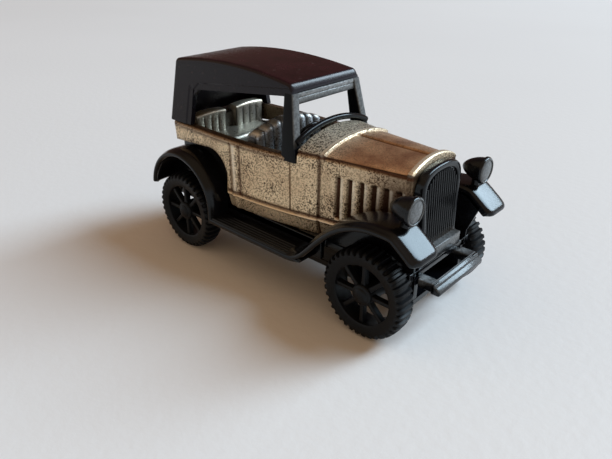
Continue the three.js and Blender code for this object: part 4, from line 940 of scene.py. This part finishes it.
def roof_plastic(name):
    """Satin black plastic with faint scuffs in its gloss, and a deep maroon painted reflection of warm light
    where a mark says it faces up.
    """
    black, scuff_colour = (0.0085, 0.0080, 0.0135), (0.09, 0.06, 0.06)
    material, tree = new_material(name)
    cloud = noise(tree, 420.0, 4.0, 0.65)
    warm_sheen_tone = ramp(tree, cloud, (0.3, (0.008, 0.0020, 0.0028)), (0.7, (0.026, 0.0062, 0.0085)))
    # Painted reflection: maroon where the mark says the face looks up, for warm light seen in the gloss.
    colour = blend(tree, mark_value(tree, "painted_warm_sheen"), black, warm_sheen_tone)
    scuffs = ramp(tree, noise(tree, 1500.0, 3.0, 0.7), (0.64, 0.0), (0.74, 0.6))
    return coated(material, {
        "Base Color": blend(tree, scuffs, colour, scuff_colour),
        "Roughness": ramp(tree, cloud, (0.3, 0.2), (0.75, 0.3)),
        "Specular IOR Level": 0.24,
        "Normal": bump(tree, noise(tree, 4200.0, 2.0), 0.15, 0.00004),
    })


def roof_crest(x):
    """Height of the roof along its middle: a parabola from the back to the nose."""
    middle, reach = (roof_nose + body_rear) / 2, (roof_nose - body_rear) / 2
    return roof_height + roof_arch * (1 - ((x - middle) / reach) ** 2)


def window_edge(x):
    """Lower edge of the roof's side: the belt at the rear quarter, then the window's cut-back corner and its
    rising top."""
    ahead = x - pillar_edge
    corner = window_rear - window_corner + np.clip(ahead, 0, window_corner)
    rise = np.clip((ahead - window_corner) / (roof_nose - pillar_edge), 0, 1)
    return np.where(x < pillar_edge, roof_foot, corner + (window_front - window_rear) * rise)


def roof_sections(x, hollow):
    """Sections of the roof across the car: up one side, round the edge, over the top and down
    the other side; when hollow, back again inside. Also how much painted maroon reflection each point takes: none
    on the sides, full on the top."""
    x = x[:, None]
    crest = roof_crest(x)
    spring = crest - roof_round
    low = window_edge(x) if hollow else np.full(x.shape, roof_foot)
    turn = np.linspace(0, math.pi / 2, 9)[1:]
    flat = np.linspace(1, 0, 13)[1:]
    wall_z = low + (spring - low) * np.linspace(0, 1, 34)
    quarter = x < pillar_edge
    from_edge = np.minimum(
        wall_z - low + np.where(quarter, far_off, 0.0),
        np.where(quarter, pillar_edge - x, far_off) + far_off * step_up(wall_z, window_rear, 24.4))
    rebate = rebate_depth * step_up(from_edge, 0.95, 0.8) if hollow else 0.0
    edge_y = roof_side(spring) - roof_round * (1 - np.cos(turn))
    half_y = beside(roof_side(wall_z) - rebate, edge_y, edge_y[:, -1:] * flat)
    half_z = beside(wall_z, spring + roof_round * np.sin(turn), crest * np.ones(len(flat)))
    painted_warm_sheen = beside(0 * wall_z, np.sin(turn) ** 2, np.ones(len(flat)))
    y, z = beside(half_y, -half_y[:, -2::-1]), beside(half_z, half_z[:, -2::-1])
    painted_warm_sheen = beside(painted_warm_sheen, painted_warm_sheen[:, -2::-1])
    if hollow:
        under = np.minimum(crest - 1.0, 25.95 + 0.8 * (x < 0.1))
        inner_wall = low + (under - 0.5 - low) * np.linspace(0, 1, 5)
        inner_y = beside(roof_side(inner_wall) - roof_wall, roof_side(under) - roof_wall - 0.4, 0 * x)
        inner_z = beside(inner_wall, under, under)
        y, z = beside(y, -inner_y, inner_y[:, -2::-1]), beside(z, inner_z, inner_z[:, -2::-1])
        painted_warm_sheen = beside(painted_warm_sheen, np.zeros(y.shape[1] - painted_warm_sheen.shape[1]))
    return points(x, y, z), painted_warm_sheen


sleeve_x = np.unique(np.concatenate([
    np.arange(body_rear + rear_soft, roof_nose - nose_bevel, 0.3),
    pillar_edge + np.array([-0.95, -0.88, -0.8, -0.01, 0.01]), pillar_edge + np.linspace(0.1, 1.2, 9),
    np.linspace(roof_nose - nose_bevel, roof_nose, 14),
]).round(4))
sleeve, sleeve_warm_sheen = roof_sections(sleeve_x, True)
nose_part = np.clip((sleeve_x - roof_nose) / nose_bevel + 1, 0, 1)[:, None]
nose_drop = 0.7 * nose_part ** 2.2
sleeve_warm_sheen = sleeve_warm_sheen * (1 - step_up(nose_part, 0.0, 0.6))
sleeve_low = np.minimum(window_edge(sleeve_x), window_front)[:, None]
sleeve_z = sleeve[..., 2]
sleeve[..., 2] = np.maximum(sleeve_z - nose_drop * (sleeve_z > 26.2), np.minimum(sleeve_z, sleeve_low))

back_turn = np.linspace(math.pi / 2, 0, 8)
back_x = np.append(body_rear + rear_soft * (1 - np.sin(back_turn)), body_rear + roof_wall)
back_inset = np.append(rear_soft * (1 - np.cos(back_turn)), 0.02)
back_middle, back_reach = np.array([0.0, 22.5]), np.array([7.0, 5.0])
back_plate, back_warm_sheen = roof_sections(back_x, False)
back_scale = 1 - back_inset[:, None] / back_reach
back_plate[..., 1:] = back_middle + (back_plate[..., 1:] - back_middle) * back_scale[:, None, :]
back_plate[..., 2] = np.maximum(back_plate[..., 2], roof_foot)
roof_warm_sheen = np.concatenate([sleeve_warm_sheen.ravel(), back_warm_sheen.ravel()])
add_piece("roof_moulding", [tube_shell(sleeve), tube_shell(back_plate)], roof_plastic("roof_black"),
          "car", "roof", {"painted_warm_sheen": roof_warm_sheen}, 45)

# Radiator.
# A black shell with an arched top, leaned back a little, on a plain ledge. Its face is recessed and carries a
# row of fine upright bars.
radiator_ledge, radiator_top, radiator_front, radiator_back = 10.7, 20.2, 20.3, 18.78
lean_angle, radiator_half, radiator_foot = math.radians(3.2), 4.25, 3.75
bar_count, mesh_half, mesh_edge = 14, 3.3, 3.36


def radiator_outline(half, foot, top):
    """Outline of the radiator: straight sides that spread upwards and a low arch of two cubic curves."""
    spring = top - 0.6 * half
    arch = bezier((half, spring), (half, top - 0.1 * half), (0.55 * half, top), (0, top), 40)
    right = np.concatenate([np.linspace((foot, radiator_ledge), (half, spring), 12)[:-1], arch])
    return np.concatenate([right, right[-2::-1] * [-1, 1]])


def leaned(y, z, depth):
    """Points on the radiator's leaned face: depth is measured in from the face."""
    up = z - radiator_ledge
    x = radiator_front - up * math.sin(lean_angle) - depth * math.cos(lean_angle)
    return points(x, y, radiator_ledge + up * math.cos(lean_angle) - depth * math.sin(lean_angle))


face_rows = [
    (radiator_half, radiator_foot, 0.55, 0.0), (radiator_half, radiator_foot, 0.28, 0.0), (4.16, 3.68, 0.1, 0.06),
    (3.95, 3.52, 0.0, 0.2), (3.55, 3.2, 0.0, 0.6), (3.4, 3.08, 0.08, 0.75), (mesh_edge, 3.05, 0.3, 0.8),
]
radiator_rings = [leaned(*radiator_outline(radiator_half, radiator_foot, radiator_top).T, 0.0)]
radiator_rings[0][:, 0] = radiator_back
for half, foot, depth, drop in face_rows:
    radiator_rings.append(leaned(*radiator_outline(half, foot, radiator_top - drop).T, depth))
bar_part = np.linspace(0, 1, 10)[:, None]
bar_turn = np.linspace(0, 2 * math.pi, 10, endpoint=False)
grille_bars = []
for bar_y in mesh_half * ((2 * np.arange(bar_count) + 1) / bar_count - 1):
    bar_top = radiator_top - 0.85 - 1.95 * (abs(bar_y) / mesh_edge) ** 3.2
    bar_z = radiator_ledge + (bar_top - radiator_ledge) * bar_part
    grille_bars.append(tube_shell(leaned(
        bar_y + 0.12 * np.cos(bar_turn), bar_z, 0.25 - 0.19 * np.sin(bar_turn))))
ledge = slab(oblong((radiator_back, 21.05), (body_bottom, radiator_ledge), [0.05, 0.2, 0.2, 0.05]),
             (-radiator_foot, radiator_foot), 0.15)
radiator_parts = [tube_shell(np.stack(radiator_rings)), ledge, *grille_bars]
radiator_z = skin_points(radiator_parts)[:, 2]
# Painted reflection: a grey sheen along the top of the ledge, for the pale table seen in its gloss.
ledge_sheen = 0.5 * step_up(radiator_z, 10.2, 10.5) * step_up(radiator_z, 10.95, 10.72)
add_piece("radiator", radiator_parts, chassis_black, "car", "radiator_grille",
          {"painted_sheen": ledge_sheen})

# Front bumper.
# A glossy black bar with a bevelled front and a fine groove above it, on two flat arms that run back under the
# deck beside the rails.
bumper_back, bumper_front, bumper_low, bumper_high, bumper_half = 22.6, 23.8, 6.5, 7.85, 5.15
bumper_section = rounded(
    [(bumper_back, bumper_low), (bumper_front, bumper_low), (bumper_front, 7.1), (23.32, 7.5), (23.24, 7.46),
     (23.16, 7.6), (22.86, bumper_high), (bumper_back, bumper_high)],
    [0.15, 0.35, 0.1, 0.04, 0.03, 0.04, 0.06, 0.1], 5)
bumper_bar = slab(bumper_section, (-bumper_half, bumper_half), 0.2)
bumper_arms = [
    slab(oblong((18.3, 23.0), (6.72, 7.8), 0.15), (3.67, 4.72), 0.12),
    slab(oblong((20.9, 23.1), (6.74, 7.82), 0.15), (3.9, bumper_half), 0.12),
]
bumper_parts = [bumper_bar, *bumper_arms, *mirrored(bumper_arms)]
bumper_x, _, bumper_z = skin_points(bumper_parts).T
# Painted highlight: a grey sheen on the tops of the arms and on the bevel, where the gloss catches the daylight.
arm_sheen = 0.95 * step_up(bumper_z, 7.6, 7.75) * step_up(bumper_x, 22.9, 22.7)
bevel_sheen = 0.3 * step_up(bumper_z, 7.02, 7.12) * step_up(bumper_x, 22.95, 23.1)
add_piece("bumper", bumper_parts, chassis_black, "car", "front_bumper",
          {"painted_sheen": arm_sheen + bevel_sheen})

# Headlamps.
# Two bullet-shaped black lamps with a rim and a slightly domed black face, each on a short stalk that plugs
# into the top of a front wing.
lamp_x, lamp_aside, lamp_height, lamp_behind = 20.1, 7.85, 17.36, 1.95
lamp_bowl = bezier((0.02, 0.0), (0.55, 0.0), (1.5, 1.25), (1.54, 2.72), 26)
lamp_rim = [(1.6, 2.7), (1.68, 2.75), (1.71, 2.84), (1.7, 3.0), (1.64, 3.14), (1.54, 3.24), (1.44, 3.28),
            (1.37, 3.24), (1.33, 3.16), (1.1, 3.22), (0.75, 3.265), (0.4, 3.29), (0.02, 3.3)]
stalk_profile = [(0.5, 13.95), (0.5, 15.0), (0.62, 15.1), (0.5, 15.3), (0.46, 15.8), (0.52, 16.6)]
lamp_skin, *lamp_faces = turned(np.concatenate([lamp_bowl, lamp_rim]), 56, False)
stalk_skin, *stalk_faces = turned(stalk_profile, 28, False)
left_lamp = [
    (lamp_skin[:, [1, 0, 2]] + [lamp_x - lamp_behind, lamp_aside, lamp_height], *lamp_faces),
    (stalk_skin[:, [0, 2, 1]] + [lamp_x, lamp_aside, 0], *stalk_faces),
]
# Painted reflection: the lamps' faces get a grey sheen, for the pale table seen in their gloss.
lamp_marks = {"painted_sheen": 0.5 * step_up(skin_points(left_lamp)[:, 0], 21.3, 21.34)}
add_piece("left_lamp", left_lamp, chassis_black, "car", "headlamp_left", lamp_marks)
add_piece("right_lamp", mirrored(left_lamp), chassis_black, "car", "headlamp_right", lamp_marks)
